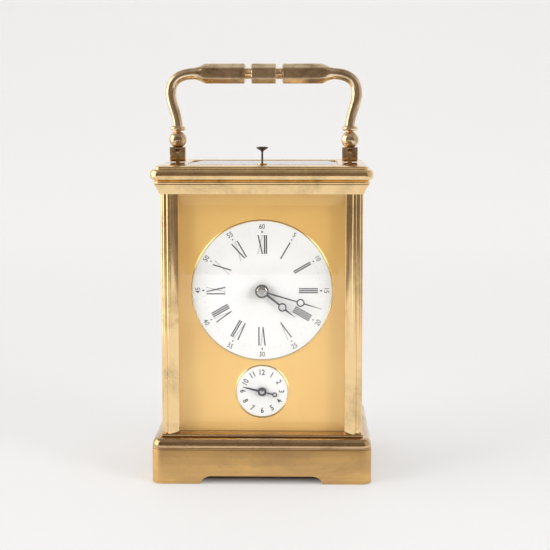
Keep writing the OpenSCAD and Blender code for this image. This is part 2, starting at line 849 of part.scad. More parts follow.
module front_plate() {
    color(brass) {
        upright(front_plate_y, plate_t) plate_outline();
        bar(stud_at, -25.2, front_plate_y, 0.8);
        bar(rack_at, -25.7, front_plate_y, 0.8);
    }
}

module back_plate() {
    color(brass) {
        upright(back_plate_y, plate_t) plate_outline();
        for (x = [-1, 1])
            bar([x * hammer_pivot[0], hammer_pivot[1]], back_plate_y + plate_t, gong_y + 1.4, 1.0);
    }
}

module plate_pillars() {
    length = back_plate_y - inner_front;
    profile = [[0, 0], [2.6, 0], [2.6, 1.2], [1.7, 2.2], [1.7, length - 2.2], [2.6, length - 1.2],
        [2.6, length], [0, length]];
    color(brass) difference() {
        for (x = [-1, 1]) for (i = [1, 2]) translate([x * pillar_at[0], inner_front, pillar_at[i]])
            rotate([-90, 0, 0]) rotate_extrude() polygon(profile);
        for (x = [-1, 1]) translate([x * movement_screw_x, 0, floor_z]) cylinder(r = 1.2, h = 3);
    }
}

// ---- Going train ----

module barrel(at, drum_r) {
    difference() {
        union() {
            translate([at[0], 0, at[1]]) upright(flange_y, 2) toothed(barrel_n, barrel_m, 0);
            bar(at, drum_y, drum_y + drum_l, drum_r, 72);
        }
        bar(at, flange_y - 1, drum_y + drum_l + 1, 1.9 + 0.08);
    }
}

module winding_arbor(at, ratchet_r) {
    teeth = 18;
    bar(at, flange_y - 0.4, drum_y + drum_l + 0.4, 1.9);
    bar(at, front_plate_y + 0.3, square_y, winding_r);
    translate([at[0], 0, at[1]]) upright(back_plate_y + plate_t + 0.3, 1.2)
        polygon([for (i = [0:teeth - 1]) for (c = [[ratchet_r - 0.9, 0], [ratchet_r, 0.85]])
            c[0] * [cos(360 / teeth * (i + c[1])), sin(360 / teeth * (i + c[1]))]]);
    key_square(at, 2.3);
}

module going_barrel() {
    color(brass) barrel(going_at, 14.4);
}

module going_winding_arbor() {
    color(steel) winding_arbor(going_at, 5);
}

module intermediate_wheel() {
    color(brass) {
        arbor(inter_at);
        pinion(inter_at, -10.6, 3.2, inter_pinion_n, barrel_m, inter_pinion_phase);
        wheel(inter_at, -13.6, 1.2, inter_n, inter_m, 0);
    }
}

module centre_wheel() {
    color(brass) difference() {
        union() {
            pinion(centre_at, -14.6, 3.2, centre_pinion_n, inter_m, centre_pinion_phase);
            bar(centre_at, -12, -8, 1.9, 24);
            wheel(centre_at, -10.6, 1.2, centre_n, centre_m, 0);
        }
        bar(centre_at, -16, -7, 1.28);
    }
}

module third_wheel() {
    color(brass) {
        arbor(third_at);
        pinion(third_at, -11.6, 3.2, third_pinion_n, centre_m, third_pinion_phase);
        wheel(third_at, 8.8, 1, third_n, third_m, 0);
    }
}

module contrate_wheel() {
    rim_r = contrate_n * contrate_m / 2;
    tooth_w = 0.34 * PI * contrate_m;
    color(brass) {
        arbor(contrate_at);
        pinion(contrate_at, 7.9, 2.8, contrate_pinion_n, third_m, contrate_pinion_phase);
        translate([contrate_at[0], 0, contrate_at[1]]) {
            upright(contrate_y, 2.2) difference() {
                disc(crown_out, 72);
                disc(crown_in, 72);
            }
            upright(contrate_y, 1) {
                disc(2.4);
                for (i = [0:3]) rotate(90 * i + 45) translate([0, -0.6]) square([rim_r - 0.3, 1.2]);
            }
            upright(contrate_y + 2.1, 0.9) for (i = [0:contrate_n - 1])
                rotate(360 / contrate_n * i) translate([crown_in + 0.15, -tooth_w / 2])
                    square([0.7, tooth_w]);
        }
    }
}

// ---- Platform escapement ----

module escape_wheel() {
    teeth = 15;
    step = 360 / teeth;
    mesh_phase = -90 + 180 / escape_pinion_n;
    color(steel) translate([escape_at[0], escape_at[1], 0]) {
        translate([0, 0, platform_z - 9.4]) linear_extrude(14.7) disc(0.4, 12);
        translate([0, 0, platform_z - 7.4]) linear_extrude(4.4)
            toothed(escape_pinion_n, contrate_m, mesh_phase);
        translate([0, 0, escape_z]) linear_extrude(0.6) {
            difference() {
                disc(escape_r - 0.9, 30);
                disc(escape_r - 1.4, 30);
            }
            disc(0.9);
            for (i = [0:4]) rotate(72 * i) translate([0, -0.2]) square([escape_r - 1.2, 0.4]);
            for (i = [0:teeth - 1]) rotate(step * i)
                polygon([[escape_r - 1, -0.45], [escape_r, 0.35],
                    [escape_r - 0.15, 0.75], [escape_r - 1, 0.35]]);
        }
    }
}

module pallet_lever() {
    stone = escape_r + 0.5;
    color(steel) {
        translate([lever_at[0], lever_at[1], platform_z + 1.1]) linear_extrude(4.2) disc(0.4, 12);
        translate([0, 0, escape_z]) linear_extrude(0.6) {
            translate(lever_at) disc(1.0);
            translate([balance_at[0] + 2.2, -0.35]) square([lever_at[0] - balance_at[0] - 2.2, 0.7]);
            for (side = [-1, 1]) {
                translate([balance_at[0] + 2.0, side * 0.75 - 0.25]) square([1.8, 0.5]);
                translate([balance_at[0] + 3.2, side * 0.5 - 0.5]) square([0.6, 1]);
                tip = escape_at + stone * [cos(180 - side * 48), sin(180 - side * 48)];
                polygon([lever_at + [-0.5, 0], lever_at + [0.6, 0], tip, tip + [-0.7, side * 0.35]]);
            }
        }
    }
}

module balance_wheel() {
    color(gilt) translate([balance_at[0], balance_at[1], 0]) {
        translate([0, 0, platform_z + 1.1]) linear_extrude(9.3) disc(0.4, 12);
        translate([0, 0, balance_z - 3]) linear_extrude(0.6) disc(1.5, 24);
        translate([0, 0, balance_z]) linear_extrude(1.1) {
            difference() {
                disc(balance_r, 60);
                disc(balance_r - 1.1, 60);
            }
            disc(1.1);
            rotate(35) square([2 * balance_r - 1, 0.9], center = true);
        }
        for (i = [0:11]) rotate([0, 0, 30 * i + 20]) translate([balance_r - 0.55, 0, balance_z + 1])
            linear_extrude(0.45) disc(0.35, 8);
    }
}

// Flat spiral strip, from its inner to its outer radius
module spiral_strip(r0, r1, turns, w) {
    steps = turns * 20;
    polygon(concat([for (i = [0:steps]) (r0 + (r1 - r0) * i / steps) * [cos(18 * i), sin(18 * i)]],
        [for (i = [steps:-1:0]) (r0 + w + (r1 - r0) * i / steps) * [cos(18 * i), sin(18 * i)]]));
}

module hairspring() {
    color(blued) translate([balance_at[0], balance_at[1], balance_z + 1.6]) linear_extrude(0.45)
        spiral_strip(0.35, 4.6, 6, 0.16);
}

module platform() {
    cut = 3;
    potence = [5, 1.4];
    color(steel) {
        difference() {
            translate([0, 0.25, platform_z]) linear_extrude(platform_t) difference() {
                square(2 * platform_half, center = true);
                for (x = [-1, 1]) for (y = [-1, 1]) translate([x * platform_half[0], y * platform_half[1]])
                    rotate(45) square(cut, center = true);
            }
            translate([escape_at[0], escape_at[1], platform_z - 1]) linear_extrude(4) disc(2.2, 24);
            for (at = [lever_at, balance_at]) translate([at[0], at[1], platform_z + 1])
                linear_extrude(2) disc(0.48, 12);
        }
        difference() {
            union() {
                translate([escape_at[0] - potence[0] / 2, 3, platform_z - 10]) cube([potence[0], 3, 10]);
                translate([escape_at[0] - potence[0] / 2, -0.8, platform_z - 10])
                    cube([potence[0], 6.8, potence[1]]);
            }
            translate([escape_at[0], 0, platform_z - 9.6]) linear_extrude(3) disc(0.48, 12);
        }
        escape_bridge();
    }
}

// Bridge over the escape wheel and the lever
module escape_bridge() {
    z = escape_z + 1.5;
    difference() {
        union() {
            translate([platform_half[0] - 2.6, -3, platform_z + platform_t - eps])
                cube([2.4, 6, z - platform_z - platform_t + 1]);
            translate([lever_at[0] - 1.4, -1.2, z]) cube([platform_half[0] - lever_at[0] + 0.2, 2.4, 1]);
        }
        for (at = [lever_at, escape_at]) translate([at[0], at[1], z - 1]) linear_extrude(2.1) disc(0.48, 12);
    }
}

module balance_cock() {
    z = balance_z + 2.6;
    foot = 3.6;
    color(brass) difference() {
        union() {
            translate([-platform_half[0] + 0.4, -4, platform_z + platform_t])
                cube([foot, 8, z - platform_z - platform_t + 1.2]);
            translate([-platform_half[0] + 0.4, -2, z])
                cube([platform_half[0] + balance_at[0] + 1.4, 4, 1.2]);
            translate([balance_at[0], balance_at[1], z]) linear_extrude(1.2) disc(2.6, 24);
        }
        translate([balance_at[0], balance_at[1], z - 1]) linear_extrude(2) disc(0.48, 12);
    }
}

// ---- Strike and alarm ----

module strike_barrel() {
    color(brass) barrel(strike_at, 14.4);
}

module strike_winding_arbor() {
    color(steel) winding_arbor(strike_at, 5);
}

module pin_wheel() {
    pins = 10;
    color(brass) {
        arbor(pin_at);
        pinion(pin_at, -10.6, 3.2, inter_pinion_n, barrel_m, pin_pinion_phase);
        wheel(pin_at, 11, 1, pin_n, pin_m, 0, 4, 1.2, 2);
        translate([pin_at[0], 0, pin_at[1]]) upright(11.9, 2.2) for (i = [0:pins - 1])
            rotate(360 / pins * i) translate([5.9, 0]) disc(0.35, 8);
    }
}

module fly() {
    span = 4.4;
    color(brass) {
        arbor(fly_at);
        pinion(fly_at, 10.2, 2.6, fly_pinion_n, pin_m, fly_pinion_phase);
        translate([fly_at[0], 0, fly_at[1]]) upright(-6, 11) square([2 * span, 0.5], center = true);
    }
}

// Hammer: pipe on its stud, arm and head over the gong
module hammer(side) {
    arm = 17;
    drop = -7;
    color(steel) translate([side * hammer_pivot[0], 0, hammer_pivot[1]]) difference() {
        union() {
            upright(back_plate_y + plate_t + 0.2, gong_y - back_plate_y - plate_t + 1) disc(2);
            mirror([side > 0 ? 1 : 0, 0, 0]) upright(gong_y - 0.4, 1.2) rotate(drop) {
                translate([0, -0.7]) square([arm, 1.4]);
                translate([-3, -0.9]) square([4, 1.8]);
            }
            mirror([side > 0 ? 1 : 0, 0, 0]) rotate([0, -drop, 0]) translate([arm, gong_y + 0.2, -1.4])
                linear_extrude(3.4) disc(1.9, 24);
        }
        upright(back_plate_y, 12) disc(1.08);
    }
}

module strike_hammer() {
    hammer(-1);
}

module alarm_hammer() {
    hammer(1);
}

// Gong: a flat coil of half turns on two centres, held in a block at its outer end
module gong() {
    color(blued) translate([0, gong_y, gong_z]) rotate([90, 0, 0]) for (j = [0:gong_turns - 1]) {
        rotate_extrude(angle = 180) translate([gong_r + j * gong_pitch, 0]) circle(gong_wire);
        translate([gong_pitch / 2, 0, 0]) rotate([0, 0, 180]) rotate_extrude(angle = 180)
            translate([gong_r + (j + 0.5) * gong_pitch, 0]) circle(gong_wire);
    }
    block_x = gong_r + gong_turns * gong_pitch;
    color(steel) translate([block_x - 1.2, back_plate_y + plate_t, gong_z - 1.6]) cube([3.6, 4.2, 7]);
}

module alarm_barrel() {
    color(brass) {
        bar(alarm_barrel_at, -6, 6, 5.9, 48);
        bar(alarm_barrel_at, front_plate_y + 0.3, square_y, winding_r);
        key_square(alarm_barrel_at, 2.3);
    }
}

plinth_skirt();
base_moulding();
case_screws();
post_front_left();
post_front_right();
post_rear_left();
post_rear_right();
top_frame();
top_glass();
front_glass();
side_glass_left();
side_glass_right();
pivot_block_left();
pivot_block_right();
pivot_pins();
button_bush();
repeat_button();
door_frame();
door_glass();
door_knob();
handle_grip();
handle_arm_left();
handle_arm_right();
dial_mask();
mask_feet();
main_dial();
alarm_dial();
minute_hand();
hour_hand();
alarm_hand();
hand_nut();
centre_arbor();
cannon_pinion();
minute_wheel();
hour_wheel();
rack();
alarm_set_arbor();
front_plate();
back_plate();
plate_pillars();
going_barrel();
going_winding_arbor();
intermediate_wheel();
centre_wheel();
third_wheel();
contrate_wheel();
escape_wheel();
pallet_lever();
balance_wheel();
hairspring();
platform();
balance_cock();
strike_barrel();
strike_winding_arbor();
pin_wheel();
fly();
strike_hammer();
gong();
alarm_barrel();
alarm_hammer();
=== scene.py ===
import json
import math

import bmesh
import bpy
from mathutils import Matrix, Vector
from mathutils.geometry import tessellate_polygon


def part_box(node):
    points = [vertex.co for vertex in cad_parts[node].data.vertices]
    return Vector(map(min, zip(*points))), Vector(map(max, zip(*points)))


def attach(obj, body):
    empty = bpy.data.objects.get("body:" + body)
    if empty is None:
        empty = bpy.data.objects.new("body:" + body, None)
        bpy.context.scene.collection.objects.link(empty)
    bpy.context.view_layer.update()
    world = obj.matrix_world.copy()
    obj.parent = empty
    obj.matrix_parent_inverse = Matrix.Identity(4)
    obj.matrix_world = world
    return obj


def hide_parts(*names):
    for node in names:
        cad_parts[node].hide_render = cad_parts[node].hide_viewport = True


MM = 0.001
TAU = 2 * math.pi

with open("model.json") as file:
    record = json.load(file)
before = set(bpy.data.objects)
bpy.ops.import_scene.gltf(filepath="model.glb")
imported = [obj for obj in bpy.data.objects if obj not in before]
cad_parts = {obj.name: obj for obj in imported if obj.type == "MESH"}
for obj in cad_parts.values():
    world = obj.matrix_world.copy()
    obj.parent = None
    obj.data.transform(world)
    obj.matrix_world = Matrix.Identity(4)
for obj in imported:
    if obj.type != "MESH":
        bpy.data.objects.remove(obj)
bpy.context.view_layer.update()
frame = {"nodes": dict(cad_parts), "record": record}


# ---------------------------------------------------------------- shaders

def add_node(tree, kind, values=None, **settings):
    """A node with its settings, and its sockets linked or set."""
    node = tree.nodes.new(kind)
    for key, value in settings.items():
        setattr(node, key, value)
    for socket, value in (values or {}).items():
        if isinstance(value, bpy.types.NodeSocket):
            tree.links.new(value, node.inputs[socket])
        else:
            node.inputs[socket].default_value = value
    return node


class Shader:
    """A node material built in code, with textures placed in object space."""

    def __init__(self, name):
        self.material = bpy.data.materials.new(name)
        self.material.use_nodes = True
        self.tree = self.material.node_tree
        self.tree.nodes.clear()
        self.space = self.add("ShaderNodeTexCoord").outputs["Object"]

    def add(self, kind, values=None, **settings):
        return add_node(self.tree, kind, values, **settings)

    def noise(self, scale, detail=4.0, rough=0.55, stretch=(1, 1, 1), distort=0.0):
        place = self.add("ShaderNodeMapping", {"Vector": self.space, "Scale": stretch})
        node = self.add("ShaderNodeTexNoise", {
            "Vector": place.outputs[0], "Scale": scale, "Detail": detail, "Roughness": rough,
            "Distortion": distort})
        return node.outputs["Fac"]

    def span(self, value, low, high, to_low=0.0, to_high=1.0):
        node = self.add("ShaderNodeMapRange", {
            "Value": value, "From Min": low, "From Max": high, "To Min": to_low, "To Max": to_high})
        return node.outputs[0]

    def math(self, operation, a, b):
        node = self.add("ShaderNodeMath", {0: a, 1: b}, operation=operation)
        return node.outputs[0]

    def mix(self, factor, a, b):
        node = self.add("ShaderNodeMix", {"Factor": factor, "A": a, "B": b}, data_type="RGBA")
        return node.outputs["Result"]

    def bump(self, height, strength, distance):
        node = self.add("ShaderNodeBump", {
            "Height": height, "Strength": strength, "Distance": distance * MM})
        return node.outputs[0]

    def finish(self, surface):
        self.add("ShaderNodeOutputMaterial", {"Surface": surface})
        return self.material

    def principled(self, values):
        return self.add("ShaderNodeBsdfPrincipled", values).outputs[0]


def rgba(colour):
    """A colour with full opacity."""
    return (colour[0], colour[1], colour[2], 1.0)


def metal(name, bright, dull, rough, patch=70, grain=None, grain_depth=0.0, wear=0.5):
    """Polished or brushed metal: patches of tarnish, specks, grain and small scratches."""
    s = Shader(name)
    patches = s.noise(patch, 6, 0.62, distort=0.4)
    specks = s.noise(patch * 14, 3, 0.6)
    stain = s.math("MULTIPLY", s.span(patches, 0.46, 0.68), s.span(specks, 0.35, 0.62, 0.45, 1.0))
    colour = s.mix(s.math("MULTIPLY", stain, wear), rgba(bright), rgba(dull))
    haze = s.span(patches, 0.3, 0.75, rough[0], rough[1])
    scratch = s.noise(900, 2, 0.5, grain or (1, 1, 0.06))
    roughness = s.math("ADD", haze, s.span(scratch, 0.5, 0.8, 0.0, 0.10))
    ripple = s.math("ADD", s.span(scratch, 0.2, 0.8, 0.0, max(grain_depth, 0.25)),
                    s.span(s.noise(260, 2, 0.5), 0.2, 0.8, 0.0, 1.0))
    return s.finish(s.principled({
        "Base Color": colour, "Metallic": 1.0, "Roughness": roughness,
        "Normal": s.bump(ripple, 0.25, 0.012 + 0.02 * grain_depth)}))


def satin_brass():
    """Horizontally brushed brass, blotched by handling and cleaning."""
    s = Shader("satin_brass_worn")
    streaks = s.noise(240, 5, 0.65, (0.05, 0.05, 1.6))
    blotch = s.noise(42, 6, 0.6, (0.6, 0.6, 1.5), distort=0.9)
    spots = s.noise(420, 3, 0.6)
    warm = s.mix(s.span(blotch, 0.34, 0.62), rgba((0.86, 0.55, 0.20)), rgba((0.66, 0.42, 0.18)))
    brown = s.mix(s.span(streaks, 0.45, 0.72, 0.0, 0.55), warm, rgba((0.56, 0.34, 0.16)))
    colour = s.mix(s.span(spots, 0.62, 0.76, 0.0, 0.5), brown, rgba((0.40, 0.29, 0.14)))
    rough = s.math("ADD", s.span(blotch, 0.3, 0.7, 0.30, 0.42), s.span(streaks, 0.3, 0.8, 0.0, 0.1))
    fine = s.noise(1500, 2, 0.6, (0.03, 0.03, 1.0))
    return s.finish(s.principled({
        "Base Color": colour, "Metallic": 1.0, "Roughness": rough,
        "Normal": s.bump(s.math("ADD", fine, streaks), 0.35, 0.02)}))


def gilt():
    """Fine-grained matt gilding."""
    s = Shader("gilt_grain")
    grain = s.noise(5200, 2, 0.6)
    cloud = s.noise(30, 4, 0.55)
    colour = s.mix(s.span(cloud, 0.35, 0.68), rgba((1.0, 0.66, 0.22)), rgba((0.96, 0.60, 0.19)))
    fleck = s.mix(s.span(grain, 0.58, 0.8, 0.0, 0.35), colour, rgba((1.0, 0.74, 0.34)))
    rough = s.math("ADD", s.span(cloud, 0.3, 0.7, 0.38, 0.42), s.span(grain, 0.3, 0.7, 0.0, 0.05))
    return s.finish(s.principled({
        "Base Color": fleck, "Metallic": 0.62, "Roughness": rough,
        "Normal": s.bump(grain, 0.22, 0.02)}))


def clear_glass():
    """Polished plate glass that lets lamp light through, with faint wipe marks."""
    s = Shader("clear_glass")
    smear = s.noise(60, 5, 0.6, (1, 1, 0.35))
    rough = s.span(smear, 0.45, 0.8, 0.0, 0.035)
    pane = s.principled({
        "Base Color": (1.0, 1.0, 1.0, 1.0), "Transmission Weight": 1.0, "Roughness": rough, "IOR": 1.47,
        "Normal": s.bump(s.noise(35, 2, 0.5), 0.05, 0.02)})
    clear = s.add("ShaderNodeBsdfTransparent").outputs[0]
    shadow = s.add("ShaderNodeLightPath").outputs["Is Shadow Ray"]
    mixed = s.add("ShaderNodeMixShader", {0: shadow, 1: pane, 2: clear}).outputs[0]
    return s.finish(mixed)


def enamel():
    """White vitreous enamel with a slight orange-peel and a warm cast in places."""
    s = Shader("white_enamel")
    cloud = s.noise(55, 4, 0.5)
    pits = s.noise(900, 2, 0.5)
    colour = s.mix(s.span(cloud, 0.35, 0.7), rgba((0.84, 0.85, 0.85)), rgba((0.80, 0.81, 0.805)))
    return s.finish(s.principled({
        "Base Color": colour, "Roughness": s.span(cloud, 0.3, 0.7, 0.10, 0.17),
        "Coat Weight": 0.4, "Normal": s.bump(s.math("ADD", s.noise(160, 2, 0.5), pits), 0.12, 0.01)}))


def ink(name, shade):
    """Fired printing ink on the enamel, thin in places."""
    s = Shader(name)
    thin = s.noise(2600, 3, 0.6)
    pale = tuple(c + 0.05 for c in shade)
    colour = s.mix(s.span(thin, 0.45, 0.75), rgba(shade), rgba(pale))
    return s.finish(s.principled({
        "Base Color": colour, "Roughness": s.span(thin, 0.3, 0.7, 0.32, 0.5),
        "Normal": s.bump(thin, 0.1, 0.01)}))


def blued():
    """Heat-blued steel, nearly black head on, with a straw edge here and there."""
    s = Shader("blued_steel")
    heat = s.noise(90, 4, 0.5)
    colour = s.mix(s.span(heat, 0.4, 0.66), rgba((0.045, 0.05, 0.075)), rgba((0.085, 0.075, 0.09)))
    fine = s.noise(2400, 2, 0.5, (1, 1, 0.1))
    return s.finish(s.principled({
        "Base Color": colour, "Metallic": 1.0, "Roughness": s.span(fine, 0.3, 0.7, 0.22, 0.34),
        "Normal": s.bump(fine, 0.15, 0.01)}))


def ruby():
    """Synthetic ruby bearing jewel."""
    s = Shader("ruby_jewel")
    depth = s.noise(2500, 2, 0.5)
    colour = s.mix(depth, rgba((0.42, 0.02, 0.06)), rgba((0.62, 0.04, 0.10)))
    return s.finish(s.principled({
        "Base Color": colour, "Roughness": s.span(depth, 0.2, 0.8, 0.06, 0.12), "Coat Weight": 0.5}))


def floor_paper():
    """Pale table top that glows a little more towards the back, with a painted shadow under the clock's
    footprint where the glow is taken away.
    """
    s = Shader("studio_floor")
    grain = s.noise(300, 3, 0.5)
    colour = s.mix(grain, rgba((0.53, 0.535, 0.545)), rgba((0.55, 0.555, 0.565)))
    axes = s.add("ShaderNodeSeparateXYZ", {0: s.space}).outputs
    # Painted shadow: the floor's glow fades to nothing inside the clock's footprint, so the floor looks
    # shaded under it.
    beside = s.span(s.math("ABSOLUTE", axes["X"], 0.0), 0.034, 0.049)
    before = s.span(s.math("ABSOLUTE", axes["Y"], 0.0), 0.030, 0.043)
    glow_with_painted_shadow = s.span(s.math("MAXIMUM", beside, before), 0.0, 1.0, 0.0, 0.38)
    glow_with_painted_shadow = s.math("ADD", glow_with_painted_shadow, s.span(axes["Y"], 0.3, 1.2, 0.0, 0.10))
    return s.finish(s.principled({
        "Base Color": colour, "Roughness": s.span(grain, 0.2, 0.8, 0.7, 0.85),
        "Emission Color": (1.0, 1.0, 1.0, 1.0), "Emission Strength": glow_with_painted_shadow}))


MATERIALS = {
    "polished_brass": metal("polished_brass_tarnished", (0.92, 0.68, 0.36), (0.52, 0.36, 0.18),
                            (0.07, 0.17), wear=0.75),
    "aged_brass": metal("base_brass_aged", (0.66, 0.47, 0.26), (0.40, 0.27, 0.14),
                        (0.10, 0.20), wear=0.9),
    "handle_brass": metal("handle_brass_worn", (0.88, 0.70, 0.47), (0.40, 0.27, 0.14),
                          (0.10, 0.24), patch=120, wear=1.0),
    "satin_brass": satin_brass(),
    "gilt": gilt(),
    "plate_brass": metal("plate_brass_grained", (0.92, 0.68, 0.33), (0.70, 0.48, 0.22),
                         (0.22, 0.30), grain=(0.04, 1, 1), grain_depth=0.3, wear=0.5),
    "wheel_brass": metal("wheel_brass_polished", (0.93, 0.70, 0.34), (0.72, 0.50, 0.24),
                         (0.14, 0.24), wear=0.4),
    "steel": metal("bright_steel", (0.60, 0.60, 0.60), (0.36, 0.35, 0.34), (0.14, 0.26), wear=0.5),
    "dark_steel": metal("hand_boss_steel", (0.17, 0.165, 0.16), (0.10, 0.10, 0.10), (0.20, 0.30)),
    "silvered": metal("silvered_platform", (0.78, 0.77, 0.74), (0.62, 0.60, 0.55), (0.28, 0.38),
                      grain=(0.05, 1, 1), grain_depth=0.4, wear=0.5),
    "glass": clear_glass(),
    "enamel": enamel(),
    "blued_steel": blued(),
    "ink": ink("dial_ink", (0.02, 0.02, 0.023)),
    "faint_ink": ink("dial_ink_faint", (0.30, 0.30, 0.31)),
    "ruby": ruby(),
}


# ---------------------------------------------------------------- mesh building, in millimetres

def rounded(half_w, half_d, r, steps=6, centre=(0, 0)):
    """Rectangle with rounded corners, anticlockwise."""
    points = []
    for i, (x, y) in enumerate(((1, 1), (-1, 1), (-1, -1), (1, -1))):
        for k in range(steps + 1):
            a = math.radians(90 * (i + k / steps))
            points.append((centre[0] + x * (half_w - r) + r * math.cos(a),
                           centre[1] + y * (half_d - r) + r * math.sin(a)))
    return points


def circle(r, steps=64, centre=(0, 0)):
    return [(centre[0] + r * math.cos(TAU * i / steps),
             centre[1] + r * math.sin(TAU * i / steps)) for i in range(steps)]


def arc(cx, cz, rx, rz, a0, a1, steps):
    """Points of an elliptical arc, angles in degrees."""
    angles = [math.radians(a0 + (a1 - a0) * i / steps) for i in range(steps + 1)]
    return [(cx + rx * math.cos(a), cz + rz * math.sin(a)) for a in angles]


def turned(points, degrees, centre=(0, 0)):
    """Points turned clockwise about the origin and moved to a centre."""
    c, s = math.cos(math.radians(degrees)), math.sin(math.radians(degrees))
    return [(centre[0] + u * c + v * s, centre[1] - u * s + v * c) for u, v in points]


def area(points):
    """Signed area of a loop, positive anticlockwise."""
    return sum(points[i - 1][0] * p[1] - p[0] * points[i - 1][1] for i, p in enumerate(points)) / 2


def inset(points, d):
    """The loop moved to the left of its direction by d."""
    if d == 0:
        return list(points)
    moved, n = [], len(points)
    for i, p in enumerate(points):
        a = (Vector(p) - Vector(points[i - 1])).normalized()
        b = (Vector(points[(i + 1) % n]) - Vector(p)).normalized()
        bisector = Vector((-a.y - b.y, a.x + b.x))
        if bisector.length < 1e-6:
            bisector = Vector((-a.y, a.x)) * 2
        miter = min(2.0 / max(bisector.length, 1e-6), 2.5)
        offset = bisector.normalized() * d * miter
        moved.append((p[0] + offset.x, p[1] + offset.y))
    return moved


def lying(u, v, w):
    """Plate plane XY, thickness along Z."""
    return (u, v, w)


def facing(u, v, w):
    """Plate plane XZ, thickness along Y."""
    return (u, w, v)


def sideways(u, v, w):
    """Plate plane YZ, thickness along X."""
    return (w, u, v)


class Solid:
    """Closed shapes gathered into one mesh, in millimetres."""

    def __init__(self):
        self.verts = []
        self.faces = []
        self.flat = set()

    def add(self, verts, faces, flat=0):
        """Take over vertices and faces; the last few faces, flat of them, are shaded flat."""
        base = len(self.verts)
        self.verts += verts
        self.faces += [[base + i for i in face] for face in faces]
        self.flat |= set(range(len(self.faces) - flat, len(self.faces)))
        return self

    def loft(self, loops, ring=False):
        """Skin through loops of equal length, capped, or joined end to end as a ring."""
        n, last = len(loops[0]), len(loops) - 1
        verts = [p for loop in loops for p in loop]
        faces = []
        for j in range(last + (1 if ring else 0)):
            k = (j + 1) % len(loops)
            for i in range(n):
                m = (i + 1) % n
                faces.append((j * n + i, j * n + m, k * n + m, k * n + i))
        if not ring:
            faces += [tuple(range(n - 1, -1, -1)), tuple(last * n + i for i in range(n))]
        return self.add(verts, faces)

    def revolve(self, profile, centre, axis="z", steps=64, sign=1):
        """Turned shape: profile is [radius, height along the axis], closed on the axis or as a ring."""
        verts, rings, faces = [], [], []
        for r, h in profile:
            ring = []
            for i in range(steps if r > 1e-6 else 1):
                a = TAU * i / steps
                u, v, w = r * math.cos(a), r * math.sin(a), h * sign
                spot = {"z": (u, v, w), "y": (u, w, v), "x": (w, u, v)}[axis]
                ring.append(len(verts))
                verts.append(tuple(c + s for c, s in zip(centre, spot)))
            rings.append(ring)
        pairs = list(zip(rings, rings[1:]))
        if profile[0][0] > 1e-6:
            pairs.append((rings[-1], rings[0]))
        for a, b in pairs:
            for i in range(steps):
                m = (i + 1) % steps
                face = [a[i % len(a)], a[m % len(a)], b[m % len(b)], b[i % len(b)]]
                face = [v for k, v in enumerate(face) if v not in face[:k]]
                if len(face) > 2:
                    faces.append(face)
        return self.add(verts, faces)

    def plate(self, loops, w0, w1, edge=0.0, place=facing, steps=2):
        """Flat plate with holes: first loop the outline, others holes; edges rounded by edge."""
        loops = [loop if (area(loop) > 0) == (i == 0) else loop[::-1] for i, loop in enumerate(loops)]
        levels = [(0.0, w0), (0.0, w1)]
        if edge:
            turn = [math.pi / 2 * i / steps for i in range(steps + 1)]
            levels = [(edge * (1 - math.sin(t)), w0 + edge * (1 - math.cos(t))) for t in turn]
            levels += [(edge * (1 - math.cos(t)), w1 - edge * (1 - math.sin(t))) for t in turn]
        verts, faces = [], []
        count = sum(len(loop) for loop in loops)
        for d, w in levels:
            for loop in loops:
                verts += [place(u, v, w) for u, v in inset(loop, d)]
        for j in range(len(levels) - 1):
            start = 0
            for loop in loops:
                n = len(loop)
                for i in range(n):
                    a, b = start + i, start + (i + 1) % n
                    faces.append((j * count + a, j * count + b, (j + 1) * count + b, (j + 1) * count + a))
                start += n
        flat = [[Vector((u, v, 0)) for u, v in inset(loop, levels[0][0])] for loop in loops]
        triangles = tessellate_polygon(flat)
        for triangle in triangles:
            faces.append(tuple(triangle[::-1]))
            faces.append(tuple((len(levels) - 1) * count + i for i in triangle))
        return self.add(verts, faces, 2 * len(triangles))

    def block(self, low, high, edge=0.2):
        """Box with rounded edges."""
        mid = [(a + b) / 2 for a, b in zip(low, high)]
        half = [(b - a) / 2 for a, b in zip(low, high)]
        loop = rounded(half[0], half[1], edge, 3, mid)
        return self.plate([loop], low[2], high[2], edge * 0.9, lying, 3)

    def tube(self, line, radii, sides=32):
        """Round tube along a line in the XZ plane."""
        loops = []
        for i, p in enumerate(line):
            ahead = Vector(line[min(i + 1, len(line) - 1)]) - Vector(line[max(i - 1, 0)])
            across = Vector((ahead.y, -ahead.x)).normalized()
            loop = []
            for k in range(sides):
                a = TAU * k / sides
                c = radii[i] * math.cos(a)
                loop.append((p[0] + c * across.x, radii[i] * math.sin(a), p[1] + c * across.y))
            loops.append(loop)
        return self.loft(loops)

    def mirrored(self):
        """The same shape on the other side of the YZ plane."""
        other = Solid()
        other.verts = [(-x, y, z) for x, y, z in self.verts]
        other.faces = [list(reversed(f)) for f in self.faces]
        other.flat = set(self.flat)
        return other

    def make(self, name, body, slot, material=None, replaces=(), sharp=32, weld=0.0):
        mesh = bpy.data.meshes.new(name)
        mesh.from_pydata([Vector(v) * MM for v in self.verts], [], self.faces)
        for i, face in enumerate(mesh.polygons):
            face.use_smooth = i not in self.flat
        bm = bmesh.new()
        bm.from_mesh(mesh)
        if weld:
            bmesh.ops.remove_doubles(bm, verts=bm.verts, dist=weld * MM)
        bmesh.ops.recalc_face_normals(bm, faces=bm.faces)
        bm.to_mesh(mesh)
        bm.free()
        return register(name, mesh, body, slot, material, replaces, sharp)


def register(name, mesh, body, slot, material, replaces, sharp):
    """An object from a finished mesh, with its material (the slot's unless another is given), attached to its
    body, with the nodes it replaces hidden.
    """
    smooth = [face.use_smooth for face in mesh.polygons]
    mesh.set_sharp_from_angle(angle=math.radians(sharp))
    for face, kept in zip(mesh.polygons, smooth):
        face.use_smooth = kept
    mesh.materials.append(MATERIALS[material or slot])
    thing = bpy.data.objects.new(name, mesh)
    bpy.context.scene.collection.objects.link(thing)
    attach(thing, body)
    if replaces:
        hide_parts(*replaces)
    return thing


